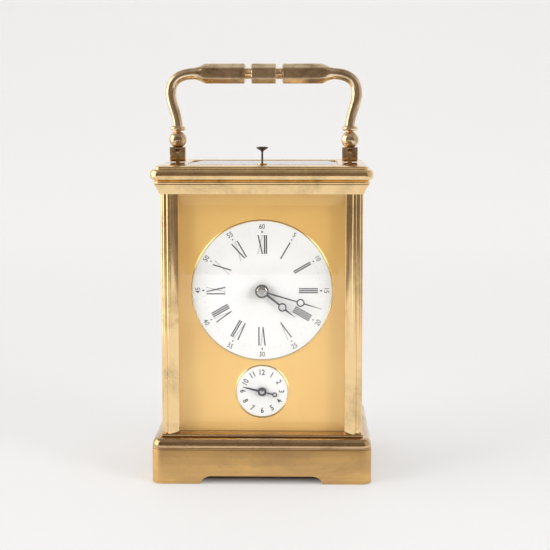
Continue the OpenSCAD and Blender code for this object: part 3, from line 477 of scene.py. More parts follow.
def softened(name, node, body, slot, edge, material=None, corner=30, segments=2):
    """A copy of a CAD node with its hard edges rounded by edge."""
    bm = bmesh.new()
    bm.from_mesh(frame["nodes"][node].data)
    bmesh.ops.remove_doubles(bm, verts=bm.verts, dist=0.002 * MM)
    bmesh.ops.dissolve_limit(bm, angle_limit=math.radians(0.5), verts=bm.verts, edges=bm.edges)
    pairs = [e for e in bm.edges if len(e.link_faces) == 2]
    hard = [e for e in pairs if e.calc_face_angle() > math.radians(corner)]
    curved = {f for e in set(pairs) - set(hard) for f in e.link_faces}
    for face in bm.faces:
        face.smooth = face in curved
    rounding = bmesh.ops.bevel(bm, geom=hard, offset=edge * MM, segments=segments, profile=0.5,
                               affect="EDGES", clamp_overlap=True)
    for face in rounding["faces"]:
        face.smooth = True
    bmesh.ops.recalc_face_normals(bm, faces=bm.faces)
    mesh = bpy.data.meshes.new(name)
    bm.to_mesh(mesh)
    bm.free()
    return register(name, mesh, body, slot, material, [node], 32)


# ---------------------------------------------------------------- sizes, in millimetres

def node_box(node):
    """Low and high corners of a CAD node's box."""
    low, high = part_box(node)
    return [c / MM for c in low], [c / MM for c in high]


def middle(node):
    low, high = node_box(node)
    return [(a + b) / 2 for a, b in zip(low, high)]


SKIRT = node_box("plinth_skirt")
BASE = node_box("base_moulding")
TOP = node_box("top_frame")
MASK = node_box("dial_mask")
CORNER_R = 5.0
AXIS_X = SKIRT[1][0] - CORNER_R
AXIS_Y = SKIRT[1][1] - CORNER_R
DIAL = middle("main_dial")
ALARM = middle("alarm_dial")
DIAL_R = (node_box("main_dial")[1][0] - node_box("main_dial")[0][0]) / 2
ALARM_R = (node_box("alarm_dial")[1][0] - node_box("alarm_dial")[0][0]) / 2
DIAL_FACE = MASK[0][1]


# ---------------------------------------------------------------- case

def band(solid, profile, inner):
    """A moulding round the case; profile and inner loops close into a ring."""
    loops = []
    for out, z in profile:
        plan = rounded(AXIS_X + out, AXIS_Y + out, max(out, 0.05), 8)
        loops.append([(x, y, z) for x, y in plan])
    for half_w, half_d, z in inner:
        loops.append([(x, y, z) for x, y in rounded(half_w, half_d, 0.6, 8)])
    return solid.loft(loops, ring=True)


def build_base():
    z = BASE[0][2]
    profile = [(4.6, z)] + arc(4.6, z + 0.36, 0.36, 0.36, -90, 75, 6) + [(4.62, z + 0.74)]
    profile += [(1.6 + 3.3 * c ** 0.7, z + 0.8 + 3.9 * s ** 0.9) for c, s in
                [(math.cos(math.radians(a)), math.sin(math.radians(a))) for a in range(0, 91, 6)]]
    profile += [(1.1, z + 4.72)] + arc(1.05, z + 5.45, 0.5, 0.63, -80, 80, 8)
    profile += [(1.0, BASE[1][2])]
    inner = [(30, 28, BASE[1][2]), (30, 28, z)]
    solid = Solid()
    band(solid, profile, inner)
    floor_plate = rounded(34, 29, 0.5, 3)
    solid.plate([floor_plate], z + 3.1, BASE[1][2] - 0.02, 0.1, lying)
    solid.make("base_moulding_turned", "case", "polished_brass", "aged_brass", ["base_moulding"])


def build_cornice():
    z = TOP[0][2]
    profile = [(1.15, z)]
    profile += [(1.15 + 1.15 * t * (1 + t), z + 0.06 + 4.04 * t) for t in [i / 12 for i in range(13)]]
    profile += arc(2.75, z + 4.95, 0.85, 0.8, -80, 80, 12)
    profile += [(2.6 + 2.4 * c ** 0.62, z + 8.25 + 2.3 * math.copysign(abs(s) ** 0.85, s)) for c, s in
                [(math.cos(math.radians(a)), math.sin(math.radians(a))) for a in range(-84, 85, 7)]]
    profile += [(2.85, z + 10.6), (2.8, z + 10.7), (2.8, z + 11.1)]
    profile += arc(2.3, z + 11.2, 0.55, 0.5, 0, 72, 6) + [(1.3, z + 12.03), (1.0, z + 12.1)]
    top = TOP[1][2]
    ledge = node_box("top_glass")[0][2]
    inner = [(33.25, 22.25, top), (33.05, 22.05, top - 0.12), (33.0, 22.0, top - 0.3),
             (33.0, 22.0, ledge), (31.5, 20.5, ledge), (31.5, 20.5, z)]
    solid = Solid()
    band(solid, profile, inner)
    solid.make("cornice_moulding", "case", "polished_brass", None, ["top_frame"])


def reeded_outline(front_groove):
    """Plan of a corner post from its outer corner: three reeds round it, bevels, glass grooves."""
    reed, width, core = 1.15, 7.65, 4.9
    outline = []
    for bearing, first, last in ((75, 317, 182.5), (45, 297.5, 152.5), (15, 267.5, 133)):
        a = math.radians(bearing)
        spot = (core - (core - reed) * math.cos(a), core - (core - reed) * math.sin(a))
        outline += arc(spot[0], spot[1], reed, reed, first, last, 14)
    outline += [(0.5, core), (2.113, width)]
    outline += [(2.9, width), (2.9, 5.45), (5.1, 5.45), (5.1, width)]
    outline += [(width - 0.2, width), (width, width - 0.2)]
    if front_groove:
        outline += [(width, 5.1), (5.45, 5.1), (5.45, 2.9), (width, 2.9)]
    outline += [(width, 2.113), (core, 0.5)]
    return outline


def build_posts():
    for depth, y in (("front", -1), ("rear", 1)):
        for side, x in (("left", -1), ("right", 1)):
            node = "post_%s_%s" % (depth, side)
            low, high = node_box(node)
            corner = (low[0] if x < 0 else high[0], low[1] if y < 0 else high[1])
            points = [(corner[0] - x * u, corner[1] - y * v) for u, v in reeded_outline(y < 0)]
            solid = Solid()
            solid.plate([points], low[2], high[2], 0.0, lying)
            solid.make(node + "_reeded", "case", "polished_brass", None, [node], sharp=40)


def build_lugs():
    for side in ("left", "right"):
        node = "pivot_block_" + side
        softened(node + "_dressed", node, "case", "polished_brass", 0.25)


def build_button():
    x, y, top = middle("repeat_button")[0], middle("repeat_button")[1], node_box("repeat_button")[1][2]
    low = node_box("repeat_button")[0][2]
    profile = [(0, low), (0.4, low), (0.45, low + 0.1), (0.45, top - 2.3), (0.8, top - 1.85),
               (1.5, top - 1.45), (2.1, top - 1.1), (2.5, top - 0.75), (2.6, top - 0.55),
               (2.58, top - 0.38), (2.4, top - 0.22), (1.8, top - 0.08), (1.0, top - 0.02), (0, top)]
    Solid().revolve(profile, (x, y, 0), "z", 40).make(
        "repeat_button_turned", "button", "steel", "dark_steel", ["repeat_button"])
    softened("button_bush_dressed", "button_bush", "case", "polished_brass", 0.12)


def build_glass():
    """Panes with crisp bevels, their plane faces left truly flat."""
    for node in ("top_glass", "front_glass", "side_glass_left", "side_glass_right"):
        softened(node + "_polished", node, "case", "glass", 0.08, corner=4)
    softened("door_glass_polished", "door_glass", "door", "glass", 0.08, corner=4)


def build_case():
    softened("plinth_skirt_dressed", "plinth_skirt", "case", "satin_brass", 0.35, segments=3)
    build_base()
    build_cornice()
    build_posts()
    build_lugs()
    build_button()
    build_glass()


# ---------------------------------------------------------------- handle

PIVOT = (38.5, 0.0, 140.4)
GRIP_Z = 176.6
GRIP_R = 4.5


def hexagon_radius(angle, size):
    """Radius of a hexagon with corners up and down, its corners just broken."""
    local = (angle + 30.0) % 60.0 - 30.0
    flat = size * math.cos(math.radians(30)) / math.cos(math.radians(30 - abs(local)))
    return min(flat, size * 0.985)


def grip_loop(x, size, roundness):
    """Section of the grip at x, from a hexagon to a circle as roundness goes from 0 to 1."""
    loop = []
    for i in range(72):
        angle = 5.0 * i
        r = hexagon_radius(angle, size) * (1 - roundness) + size * roundness
        a = math.radians(angle)
        loop.append((x, r * math.sin(a), GRIP_Z + r * math.cos(a)))
    return loop


def build_grip():
    sections = [(5.65, 3.75, 0.25), (5.5, 4.15, 0.1), (5.2, GRIP_R, 0.0)]
    middle_part = sections + [(-x, size, t) for x, size, t in reversed(sections)]
    solid = Solid()
    solid.loft([grip_loop(*s) for s in middle_part])
    outer = [(8.05, 3.4, 0.6), (8.2, 3.8, 0.35), (8.7, GRIP_R, 0.0), (25.6, GRIP_R, 0.0),
             (26.3, 4.42, 0.05), (27.6, 3.85, 0.3), (28.8, 3.25, 0.7), (29.6, 2.95, 1.0), (31.0, 2.7, 1.0)]
    for side in (1, -1):
        solid.loft([grip_loop(side * x, size, t) for x, size, t in outer])
    core = [(0, -12.0), (2.38, -12.0), (2.38, 12.0), (0, 12.0)]
    solid.revolve(core, (0, 0, GRIP_Z), "x", 40)
    for side in (1, -1):
        for x in (6.45, 7.4):
            solid.revolve([(2.3, x - 0.3), (2.62, x - 0.16), (2.72, x), (2.62, x + 0.16), (2.3, x + 0.3)],
                          (0, 0, GRIP_Z), "x", 40, side)
    solid.make("handle_grip_faceted", "handle", "polished_brass", "handle_brass", ["handle_grip"], sharp=22)


def bezier(p, t):
    a, b, c, d = (1 - t) ** 3, 3 * (1 - t) ** 2 * t, 3 * (1 - t) * t * t, t ** 3
    return tuple(a * p[0][i] + b * p[1][i] + c * p[2][i] + d * p[3][i] for i in (0, 1))


def arm_solid():
    """Right-hand arm: bent rod, ball, collar and the fork that holds the pivot pin."""
    low = [(38.5, 152.9), (38.5, 158.5), (41.7, 163.2), (41.5, 168.3)]
    high = [(41.5, 168.3), (41.3, 173.4), (38.2, GRIP_Z), (30.2, GRIP_Z)]
    line = [bezier(low, i / 28) for i in range(29)] + [bezier(high, i / 28) for i in range(1, 29)]
    radii = [2.15 + 0.45 * i / (len(line) - 1) for i in range(len(line))]
    solid = Solid()
    solid.tube(line, radii, 40)
    profile = [(0, 3.45), (1.6, 3.42)] + arc(0, 6.9, 3.9, 3.9, -62, 68, 26)
    profile += [(1.62, 10.75)] + arc(2.3, 11.9, 1.2, 1.1, -80, 80, 14)
    profile += [(2.2, 13.2), (2.15, 13.6), (0, 13.6)]
    solid.revolve(profile, PIVOT, "z", 56)
    cheek = arc(0, PIVOT[2], 3.0, 3.0, 180, 360, 28) + [(3.0, PIVOT[2] + 3.55), (-3.0, PIVOT[2] + 3.55)]
    hole = circle(1.03, 24, (0, PIVOT[2]))
    for a, b in ((-3.45, -0.95), (0.95, 3.45)):
        solid.plate([cheek, hole], PIVOT[0] + a, PIVOT[0] + b, 0.12, sideways)
    solid.block((PIVOT[0] - 1.2, -2.98, PIVOT[2] + 2.9), (PIVOT[0] + 1.2, 2.98, PIVOT[2] + 3.5), 0.1)
    return solid


def build_handle():
    build_grip()
    right = arm_solid()
    right.mirrored().make("handle_arm_left_turned", "handle", "polished_brass", "handle_brass",
                          ["handle_arm_left"])
    right.make("handle_arm_right_turned", "handle", "polished_brass", "handle_brass", ["handle_arm_right"])
    pins = Solid()
    for x in (-PIVOT[0], PIVOT[0]):
        pins.revolve([(0, -3.5), (0.75, -3.47), (1.0, -3.3), (1.0, 3.3), (0.75, 3.47), (0, 3.5)],
                     (x, 0, PIVOT[2]), "x", 24)
    pins.make("pivot_pins_domed", "case", "steel", None, ["pivot_pins"])


# ---------------------------------------------------------------- dials

THICK, THIN, GAP, SERIF = 0.5, 0.13, 0.33, 0.11
NUMERAL_FOOT, NUMERAL_H = 16.05, 8.05
HOUR_STEP, MINUTE_STEP = 30, 6
MINUTE_NUMBER_R, MINUTE_NUMBER_H = 27.95, 2.15
MARK_R = 25.55
TICK_FOOT, TICK_TIP, TICK_HALF = 25.1, 25.75, 0.05
ALARM_NUMBER_R, ALARM_NUMBER_H = 8.45, 2.5
INK_T, INK_LAYER, INK_DEPTH = 0.06, 0.006, 0.1
DIGIT_T, DIGIT_DEPTH = 0.04, 0.02


def bar(x0, x1, width0, width1, h0, h1):
    """A stroke from x0 at height h0 to x1 at height h1, of the given widths."""
    return [(x0, h0), (x0 + width0, h0), (x1 + width1, h1), (x1, h1)]


def roman(text):
    """Strokes of a Roman numeral standing on a base line, centred."""
    strokes, x, h = [], 0.0, NUMERAL_H
    for letter in text:
        if letter == "I":
            strokes.append(bar(x, x, THICK, THICK, 0, h))
            feet = [(x - 0.17, x + THICK + 0.17, 0), (x - 0.17, x + THICK + 0.17, h)]
            x += THICK + GAP
        elif letter == "V":
            strokes.append(bar(x + 1.05, x + 0.15, THICK, THICK, 0, h))
            strokes.append(bar(x + 1.2, x + 2.2, THIN, THIN, 0, h))
            feet = [(x - 0.1, x + 0.85, h), (x + 1.9, x + 2.6, h)]
            x += 2.5 + GAP
        else:
            strokes.append(bar(x + 2.0, x + 0.15, THICK, THICK, 0, h))
            strokes.append(bar(x + 0.25, x + 2.2, THIN, THIN, 0, h))
            feet = [(x - 0.1, x + 0.85, h), (x + 1.9, x + 2.6, h),
                    (x - 0.05, x + 0.6, 0), (x + 1.7, x + 2.7, 0)]
            x += 2.6 + GAP
        for a, b, level in feet:
            inner = level - SERIF if level else 0.0
            strokes.append([(a, inner), (b, inner), (b, inner + SERIF), (a, inner + SERIF)])
    shift = (x - GAP) / 2
    return [[(u - shift, v) for u, v in stroke] for stroke in strokes]


def print_on(solid, loop, layer=0):
    """A thin raised print on the dial face; layers differ a little in height."""
    front = DIAL_FACE - INK_T - INK_LAYER * layer
    solid.plate([loop], front, DIAL_FACE + INK_DEPTH, 0.0)


def flat_text(text, bold):
    """Filled outlines of a text: points, faces and the edges of its rim."""
    curve = bpy.data.curves.new("digits", "FONT")
    curve.body, curve.size, curve.resolution_u, curve.offset = text, 1.0, 3, bold
    thing = bpy.data.objects.new("digits", curve)
    bpy.context.scene.collection.objects.link(thing)
    bpy.context.view_layer.update()
    flat = thing.evaluated_get(bpy.context.evaluated_depsgraph_get()).to_mesh()
    points = [v.co.copy() for v in flat.vertices]
    faces = [list(p.vertices) for p in flat.polygons]
    bpy.data.objects.remove(thing)
    bpy.data.curves.remove(curve)
    edges = dict.fromkeys((face[i - 1], v) for face in faces for i, v in enumerate(face))
    rim = [(a, b) for a, b in edges if (b, a) not in edges]
    return points, faces, rim


def digits(solid, text, height, angle, radius, centre, turn, squeeze, bold):
    """Arabic number centred at a clock angle and radius, turned by turn degrees clockwise."""
    points, faces, rim = flat_text(text, bold)
    low = [min(p[i] for p in points) for i in (0, 1)]
    high = [max(p[i] for p in points) for i in (0, 1)]
    scale = height / (high[1] - low[1])
    mid = [(a + b) / 2 for a, b in zip(low, high)]
    spot = turned([(0, radius)], angle, centre)[0]
    local = [((p.x - mid[0]) * scale * squeeze, (p.y - mid[1]) * scale) for p in points]
    placed = turned(local, turn, spot)
    n = len(placed)
    verts = [(u, DIAL_FACE + DIGIT_DEPTH, v) for u, v in placed]
    verts += [(u, DIAL_FACE - DIGIT_T, v) for u, v in placed]
    skin = [face[::-1] for face in faces] + [[n + i for i in face] for face in faces]
    skin += [(a, b, n + b, n + a) for a, b in rim]
    solid.add(verts, skin)


def upright(angle):
    """Turn of a number at a clock angle: outwards at the top, inwards at the bottom."""
    return angle + (180 if 90 < angle < 270 else 0)


def build_hours(centre):
    names = ["XII", "I", "II", "III", "IIII", "V", "VI", "VII", "VIII", "IX", "X", "XI"]
    hours = Solid()
    for i, name in enumerate(names):
        for layer, stroke in enumerate(roman(name)):
            raised = [(u, v + NUMERAL_FOOT) for u, v in stroke]
            print_on(hours, turned(raised, HOUR_STEP * i, centre), layer % 5)
    hours.make("main_dial_hours", "case", "enamel", "ink", sharp=20)


def build_minutes(centre):
    minutes = Solid()
    for i in range(12):
        angle = HOUR_STEP * i
        turn = upright(angle)
        digits(minutes, str(i * 5 or 60), MINUTE_NUMBER_H, angle, MINUTE_NUMBER_R, centre, turn,
               0.88, 0.006)
    minutes.make("main_dial_minutes", "case", "enamel", "ink", sharp=20, weld=0.0005)


def build_marks(centre):
    """A diamond at each hour, longer at the quarters."""
    marks = Solid()
    for i in range(12):
        long, wide = (0.72, 0.36) if i % 3 == 0 else (0.42, 0.38)
        diamond = [(0, MARK_R + long), (-wide, MARK_R), (0, MARK_R - long), (wide, MARK_R)]
        print_on(marks, turned(diamond, HOUR_STEP * i, centre))
    marks.make("main_dial_marks", "case", "enamel", "ink", sharp=20)


def build_ticks(centre):
    """A faint tick at each minute between the diamonds."""
    tick = [(TICK_HALF, TICK_FOOT), (TICK_HALF, TICK_TIP), (-TICK_HALF, TICK_TIP),
            (-TICK_HALF, TICK_FOOT)]
    ticks = Solid()
    for i in range(60):
        if i % 5:
            print_on(ticks, turned(tick, MINUTE_STEP * i, centre))
    ticks.make("main_dial_ticks", "case", "enamel", "faint_ink", sharp=20)


def build_main_print():
    centre = (DIAL[0], DIAL[2])
    build_hours(centre)
    build_minutes(centre)
    build_marks(centre)
    build_ticks(centre)


def build_alarm_print():
    centre = (ALARM[0], ALARM[2])
    numbers = Solid()
    for i in range(1, 13):
        angle = HOUR_STEP * i
        turn = upright(angle)
        digits(numbers, str(i), ALARM_NUMBER_H, angle, ALARM_NUMBER_R, centre, turn, 0.84, 0.022)
    numbers.make("alarm_dial_numbers", "case", "enamel", "ink", sharp=20, weld=0.0005)


def enamel_disc(name, node, centre, radius, hole):
    """Dial with a rolled edge and a lip round its centre hole."""
    back = node_box(node)[1][1]
    face = DIAL_FACE
    profile = [(hole, back), (hole, face + 0.25), (hole + 0.1, face + 0.08), (hole + 0.3, face),
               (radius - 0.5, face), (radius - 0.2, face + 0.06), (radius - 0.06, face + 0.22),
               (radius - 0.04, back)]
    Solid().revolve(profile, (centre[0], 0, centre[2]), "y", 128).make(name, "case", "enamel", None, [node])


def build_mask():
    outline = rounded((MASK[1][0] - MASK[0][0]) / 2, (MASK[1][2] - MASK[0][2]) / 2, 0.3, 2,
                      (0, (MASK[0][2] + MASK[1][2]) / 2))
    holes = [circle(DIAL_R + 0.02, 128, (DIAL[0], DIAL[2])),
             circle(ALARM_R + 0.02, 96, (ALARM[0], ALARM[2]))]
    Solid().plate([outline] + holes, MASK[0][1], MASK[1][1], 0.12).make(
        "dial_mask_gilt", "case", "gilt", None, ["dial_mask"])
    rims = Solid()
    for centre, radius in ((DIAL, DIAL_R), (ALARM, ALARM_R)):
        face = DIAL_FACE
        rims.revolve([(radius - 0.16, face + 0.2), (radius - 0.1, face - 0.14), (radius + 0.1, face - 0.22),
                      (radius + 0.42, face - 0.16), (radius + 0.62, face + 0.02), (radius + 0.6, face + 0.2)],
                     (centre[0], 0, centre[2]), "y", 128)
    rims.make("dial_rims_bevelled", "case", "gilt", "wheel_brass")


def build_dials():
    build_mask()
    enamel_disc("main_dial_enamel", "main_dial", DIAL, DIAL_R, 2.6)
    enamel_disc("alarm_dial_enamel", "alarm_dial", ALARM, ALARM_R, 1.4)
    build_main_print()
    build_alarm_print()


# ---------------------------------------------------------------- hands

MINUTE_ANGLE, HOUR_ANGLE, ALARM_ANGLE = 106.5, 128.9, 283.7


def hand_side(boss_r, ring_at, ring_r, widths, tip):
    """Right-hand edge of a hand pointing up, from beside its boss to its tip."""
    root, before, after = widths
    angle = math.degrees(math.acos(root / boss_r))
    points = arc(0, 0, boss_r, boss_r, -90, angle, 14)
    low = math.degrees(math.asin(before / ring_r))
    high = math.degrees(math.asin(after / ring_r))
    points += arc(0, ring_at, ring_r, ring_r, -90 + low, 90 - high, 12)
    return points + [(0.045, tip)]


def ring_hand(boss_r, boss_hole, ring_at, ring_r, wall, widths, tip):
    """Outline, boss hole and ring hole of a hand pointing up."""
    right = hand_side(boss_r, ring_at, ring_r, widths, tip)
    outline = right + [(-u, v) for u, v in reversed(right[1:])]
    return [outline, circle(boss_hole, 40), circle(ring_r - wall, 32, (0, ring_at))]


def lay_hand(name, node, body, loops, angle, centre):
    """The hand at a clock angle, as thick as its CAD node."""
    low, high = node_box(node)
    placed = [turned(loop, angle, (centre[0], centre[2])) for loop in loops]
    Solid().plate(placed, low[1], high[1], 0.1, facing, 2).make(
        name, body, "blued_steel", None, [node], sharp=50)


def build_hands():
    minute = ring_hand(2.75, 1.5, 17.4, 1.75, 0.55, (0.36, 0.24, 0.30), 27.0)
    lay_hand("minute_hand_pierced", "minute_hand", "minute_arbor", minute, MINUTE_ANGLE, DIAL)
    hour = ring_hand(2.85, 2.1, 11.3, 1.88, 0.58, (0.46, 0.36, 0.42), 18.5)
    lay_hand("hour_hand_pierced", "hour_hand", "hour", hour, HOUR_ANGLE, DIAL)
    build_alarm_hand()
    build_hand_nut()
    build_alarm_cap()


def build_alarm_hand():
    right = arc(0, -5.6, 1.1, 1.1, -90, 76, 12) + arc(0, 0, 1.95, 1.95, -82, 77, 12)
    right += [(0.34, 6.2), (0.05, 9.1)]
    outline = right + [(-u, v) for u, v in reversed(right[1:])]
    alarm = [outline, circle(0.8, 32), circle(0.6, 24, (0, -5.6))]
    lay_hand("alarm_hand_pierced", "alarm_hand", "alarm_setting", alarm, ALARM_ANGLE, ALARM)


def build_hand_nut():
    """Dark collar and bright domed nut that hold the hands."""
    face = node_box("hand_nut")[0][1]
    collar = [(1.0, face + 0.5), (2.95, face + 0.5), (2.95, face + 0.32), (2.8, face + 0.18),
              (2.3, face + 0.14), (1.0, face + 0.14)]
    Solid().revolve(collar, (0, 0, DIAL[2]), "y", 48).make(
        "hand_collar_dark", "minute_arbor", "steel", "dark_steel", ["hand_nut"])
    dome = [(1.0, face + 0.3), (2.15, face + 0.3), (2.2, face + 0.16), (2.0, face + 0.04),
            (1.5, face - 0.06), (1.0, face - 0.1)]
    Solid().revolve(dome, (0, 0, DIAL[2]), "y", 48).make("hand_nut_domed", "minute_arbor", "steel")


def build_alarm_cap():
    low = node_box("alarm_set_arbor")[0][1]
    cap = [(0, low - 0.12), (0.7, low - 0.1), (0.98, low + 0.02), (1.05, low + 0.16), (0, low + 0.16)]
    Solid().revolve(cap, (ALARM[0], 0, ALARM[2]), "y", 32).make("alarm_hand_cap", "alarm_setting", "steel")


# ---------------------------------------------------------------- rear door and movement

HALF_SLOT = 0.28
BACK_FACE = 20.0
PLATFORM_TOP = 105.6
RATCHET_X, RATCHET_Z = 16.6, 52.0


def screw(solid, centre, r, height, axis="y"):
    """Slotted cheese-head screw: a disc and two half-moons either side of the slot."""
    under = [(0, 0), (r, 0), (r, height * 0.5), (0, height * 0.5)]
    solid.revolve(under, centre, axis, 24)
    start = math.degrees(math.asin(HALF_SLOT / r))
    place = {"y": lambda u, v, w: (centre[0] + u, centre[1] + w, centre[2] + v),
             "z": lambda u, v, w: (centre[0] + u, centre[1] + v, centre[2] + w)}[axis]
    for base in (0, 180):
        moon = arc(0, 0, r, r, base + start, base + 180 - start, 10)
        solid.plate([turned(moon, 25)], height * 0.45, height, 0.08, place)


def build_door():
    softened("door_frame_dressed", "door_frame", "door", "polished_brass", 0.3)
    x, y, z = middle("door_knob")[0], node_box("door_knob")[0][1], middle("door_knob")[2]
    profile = [(0, 0), (0.88, 0), (0.88, 3.0), (1.6, 3.02), (1.66, 3.25), (1.5, 3.5), (1.0, 3.75),
               (0.9, 4.3), (1.0, 4.85), (1.6, 5.2), (2.1, 5.6), (2.38, 6.1), (2.3, 6.6), (1.9, 7.0),
               (1.2, 7.22), (0, 7.3)]
    Solid().revolve(profile, (x, y, z), "y", 40).make(
        "door_knob_turned", "door", "polished_brass", None, ["door_knob"])


def build_plates():
    softened("front_plate_dressed", "front_plate", "case", "plate_brass", 0.2)
    softened("back_plate_dressed", "back_plate", "case", "plate_brass", 0.2)
    softened("platform_dressed", "platform", "case", "steel", 0.12, material="silvered")
    softened("balance_cock_dressed", "balance_cock", "case", "plate_brass", 0.15)


def build_screws():
    """Screws of the pillars, the back plate, the balance cock and the platform."""
    screws = Solid()
    for x in (-29, 29):
        for z in (25.5, 99.5):
            screw(screws, (x, BACK_FACE, z), 1.9, 1.0)
    for x, z in ((-25, 30), (25, 92), (-9, 30), (31.6, 55)):
        screw(screws, (x, BACK_FACE, z), 1.2, 0.7)
    top = node_box("balance_cock")[1][2]
    screw(screws, (-16.8, 0, top), 1.3, 0.7, "z")
    for x in (-14.6, 14.6):
        for y in (-15.8, 15.8):
            screw(screws, (x, y, PLATFORM_TOP), 1.2, 0.6, "z")
    screws.make("movement_screws", "case", "blued_steel")


def build_jewels():
    """Ruby bearings of the balance, escape wheel and lever in their brass settings."""
    top = node_box("balance_cock")[1][2]
    jewels = Solid()
    settings = Solid()
    for x, z, r in ((-5.5, top, 0.85), (11.5, 109.3, 0.7), (5.5, 109.3, 0.7)):
        settings.revolve([(r, z - 0.05), (r + 0.45, z - 0.05), (r + 0.42, z + 0.14), (r, z + 0.16)],
                         (x, 0, 0), "z", 32)
        jewels.revolve([(0, z - 0.05), (r, z - 0.05), (r * 0.95, z + 0.1), (0, z + 0.2)],
                       (x, 0, 0), "z", 24)
    settings.make("jewel_settings", "case", "wheel_brass")
    jewels.make("bearing_jewels", "case", "steel", "ruby")


def build_clicks():
    """Clicks and their springs beside the two ratchets on the back plate."""
    parts, screws = Solid(), Solid()
    for side in (-1, 1):
        cx, cz = side * RATCHET_X, RATCHET_Z
        pivot = (cx + side * 1.5, cz + 9.0)
        nose = (cx + side * 4.6, cz + 4.3)
        body = [(pivot[0] - 1.5, pivot[1] + 0.4), (pivot[0] - 0.6, pivot[1] + 1.5),
                (pivot[0] + 0.8, pivot[1] + 1.3), (pivot[0] + 1.6, pivot[1] + 0.1),
                (nose[0] + side * 0.5 + 0.4, nose[1] + 0.9),
                (nose[0] + side * 0.9, nose[1] + 0.2), (pivot[0] - 0.9, pivot[1] - 1.2)]
        parts.plate([body], 20.25, 21.35, 0.12)
        spring = arc(cx, cz, 8.6, 8.6, 30, 150, 24)
        inner = arc(cx, cz, 8.0, 8.0, 150, 30, 24)
        parts.plate([spring + inner], 20.25, 20.9, 0.08)
        screw(screws, (pivot[0], 21.35, pivot[1]), 1.0, 0.6)
        screw(screws, (cx - 7.2, 20.9, cz + 4.2), 0.8, 0.5)
    parts.make("clicks_and_springs", "case", "steel")
    screws.make("click_screws", "case", "blued_steel")


def build_movement():
    build_door()
    build_plates()
    build_screws()
    build_jewels()
    build_clicks()


# ---------------------------------------------------------------- camera, floor and light

CAMERA_AT = (0.018, -0.658, 0.164)
CAMERA_DOWN, CAMERA_LEFT = 6.74, 1.13
TABLE_FRONT, FLARE_START, FLARE_END, SWEEP_START, BACKDROP_TOP = -0.8, 0.1, 0.4, 1.0, 3.0
SWEEP_R = 0.7
TABLE_HALF, BACKDROP_HALF = 0.45, 2.5


def build_camera():
    camera = bpy.data.objects.new("camera", bpy.data.cameras.new("camera"))
    camera.data.lens = 95.8
    camera.data.sensor_width = 36
    camera.data.clip_start = 0.02
    camera.location = CAMERA_AT
    camera.rotation_euler = (math.radians(90 - CAMERA_DOWN), 0, math.radians(CAMERA_LEFT))
    bpy.context.scene.collection.objects.link(camera)
    bpy.context.scene.camera = camera


def build_floor():
    """Table top, narrow under the clock, widening behind it and swept up as a backdrop."""
    profile = [(TABLE_FRONT, 0.0), (FLARE_START, 0.0), (FLARE_END, 0.0), (SWEEP_START, 0.0)]
    profile += arc(SWEEP_START, SWEEP_R, SWEEP_R, SWEEP_R, -85, 0, 17)
    profile += [(SWEEP_START + SWEEP_R, BACKDROP_TOP)]
    widths = [TABLE_HALF if y <= FLARE_START else BACKDROP_HALF for y, z in profile]
    verts = [(side * half, y, z) for half, (y, z) in zip(widths, profile) for side in (-1, 1)]
    faces = [(2 * i, 2 * i + 1, 2 * i + 3, 2 * i + 2) for i in range(len(profile) - 1)]
    mesh = bpy.data.meshes.new("floor")
    mesh.from_pydata(verts, [], faces)
    mesh.shade_smooth()
    mesh.materials.append(floor_paper())
    floor = bpy.data.objects.new("floor", mesh)
    bpy.context.scene.collection.objects.link(floor)


def area_light(name, place, target, size, power):
    """A rectangular lamp that lights but isn't mirrored in the metal."""
    light = bpy.data.lights.new(name, "AREA")
    light.shape, light.size, light.size_y, light.energy = "RECTANGLE", size[0], size[1], power
    thing = bpy.data.objects.new(name, light)
    thing.location = place
    thing.rotation_euler = (Vector(target) - Vector(place)).to_track_quat("-Z", "Y").to_euler()
    thing.visible_glossy = False
    bpy.context.scene.collection.objects.link(thing)


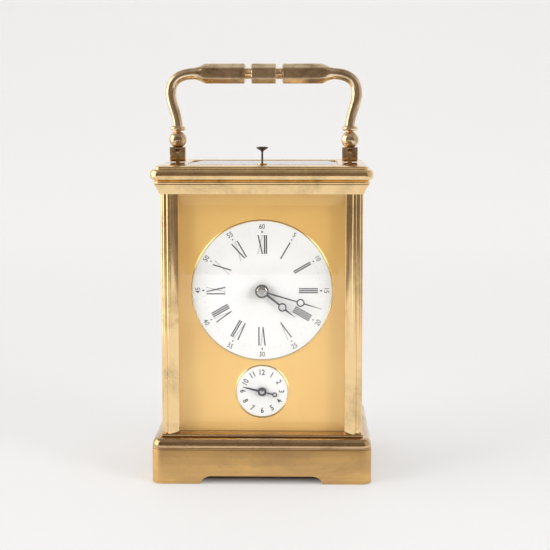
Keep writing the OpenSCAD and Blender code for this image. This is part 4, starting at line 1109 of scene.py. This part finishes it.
def build_world():
    """A pale backdrop to the camera; in reflections a room that is dark behind the camera."""
    world = bpy.data.worlds.new("studio")
    bpy.context.scene.world = world
    world.use_nodes = True
    tree = world.node_tree
    tree.nodes.clear()

    def add(kind, values=None, **settings):
        return add_node(tree, kind, values, **settings)

    def span(value, low, high):
        node = add("ShaderNodeMapRange", {"Value": value, "From Min": low, "From Max": high},
                   interpolation_type="SMOOTHSTEP")
        return node.outputs[0]

    def blend(factor, a, b):
        node = add("ShaderNodeMix", {"Factor": factor, "A": a, "B": b}, data_type="RGBA")
        return node.outputs["Result"]

    direction = add("ShaderNodeTexCoord").outputs["Generated"]
    axes = add("ShaderNodeSeparateXYZ", {0: direction}).outputs
    side = blend(span(axes["X"], -0.2, 0.2), (2.4, 2.3, 2.1, 1), (0.62, 0.59, 0.54, 1))
    room = blend(span(axes["Y"], -0.58, -0.44), (0.20, 0.155, 0.12, 1), side)
    room = blend(span(axes["Y"], 0.25, 0.5), room, (0.88, 0.88, 0.88, 1))
    room = blend(span(axes["Z"], 0.45, 0.8), room, (0.34, 0.31, 0.29, 1))
    paths = add("ShaderNodeLightPath").outputs
    bounced = add("ShaderNodeMath", {0: paths["Glossy Depth"], 1: paths["Diffuse Depth"]},
                  operation="MAXIMUM").outputs[0]
    colour = blend(bounced, (0.913, 0.913, 0.913, 1), room)
    back = add("ShaderNodeBackground", {"Color": colour, "Strength": 1.0}).outputs[0]
    add("ShaderNodeOutputWorld", {"Surface": back})


def build_studio():
    build_camera()
    build_floor()
    build_world()
    area_light("key_top", (0.1, -0.35, 1.5), (0, 0, 0.05), (0.8, 0.5), 3.2)
    area_light("fill_left", (-1.0, -0.85, 0.50), (0, 0, 0.08), (0.5, 0.9), 7)
    area_light("fill_right", (1.0, -0.85, 0.50), (0, 0, 0.08), (0.5, 0.9), 8)
    bpy.context.scene.view_settings.view_transform = "Standard"


def colour_cad_nodes():
    """CAD nodes that keep their own shape take the material of their slot."""
    slots = {part["node"]: part["material_slot"] for part in frame["record"]["subparts"]}
    for name, node in frame["nodes"].items():
        node.data.materials.clear()
        node.data.materials.append(MATERIALS[slots[name]])


build_studio()
colour_cad_nodes()
build_case()
build_handle()
build_dials()
build_hands()
build_movement()
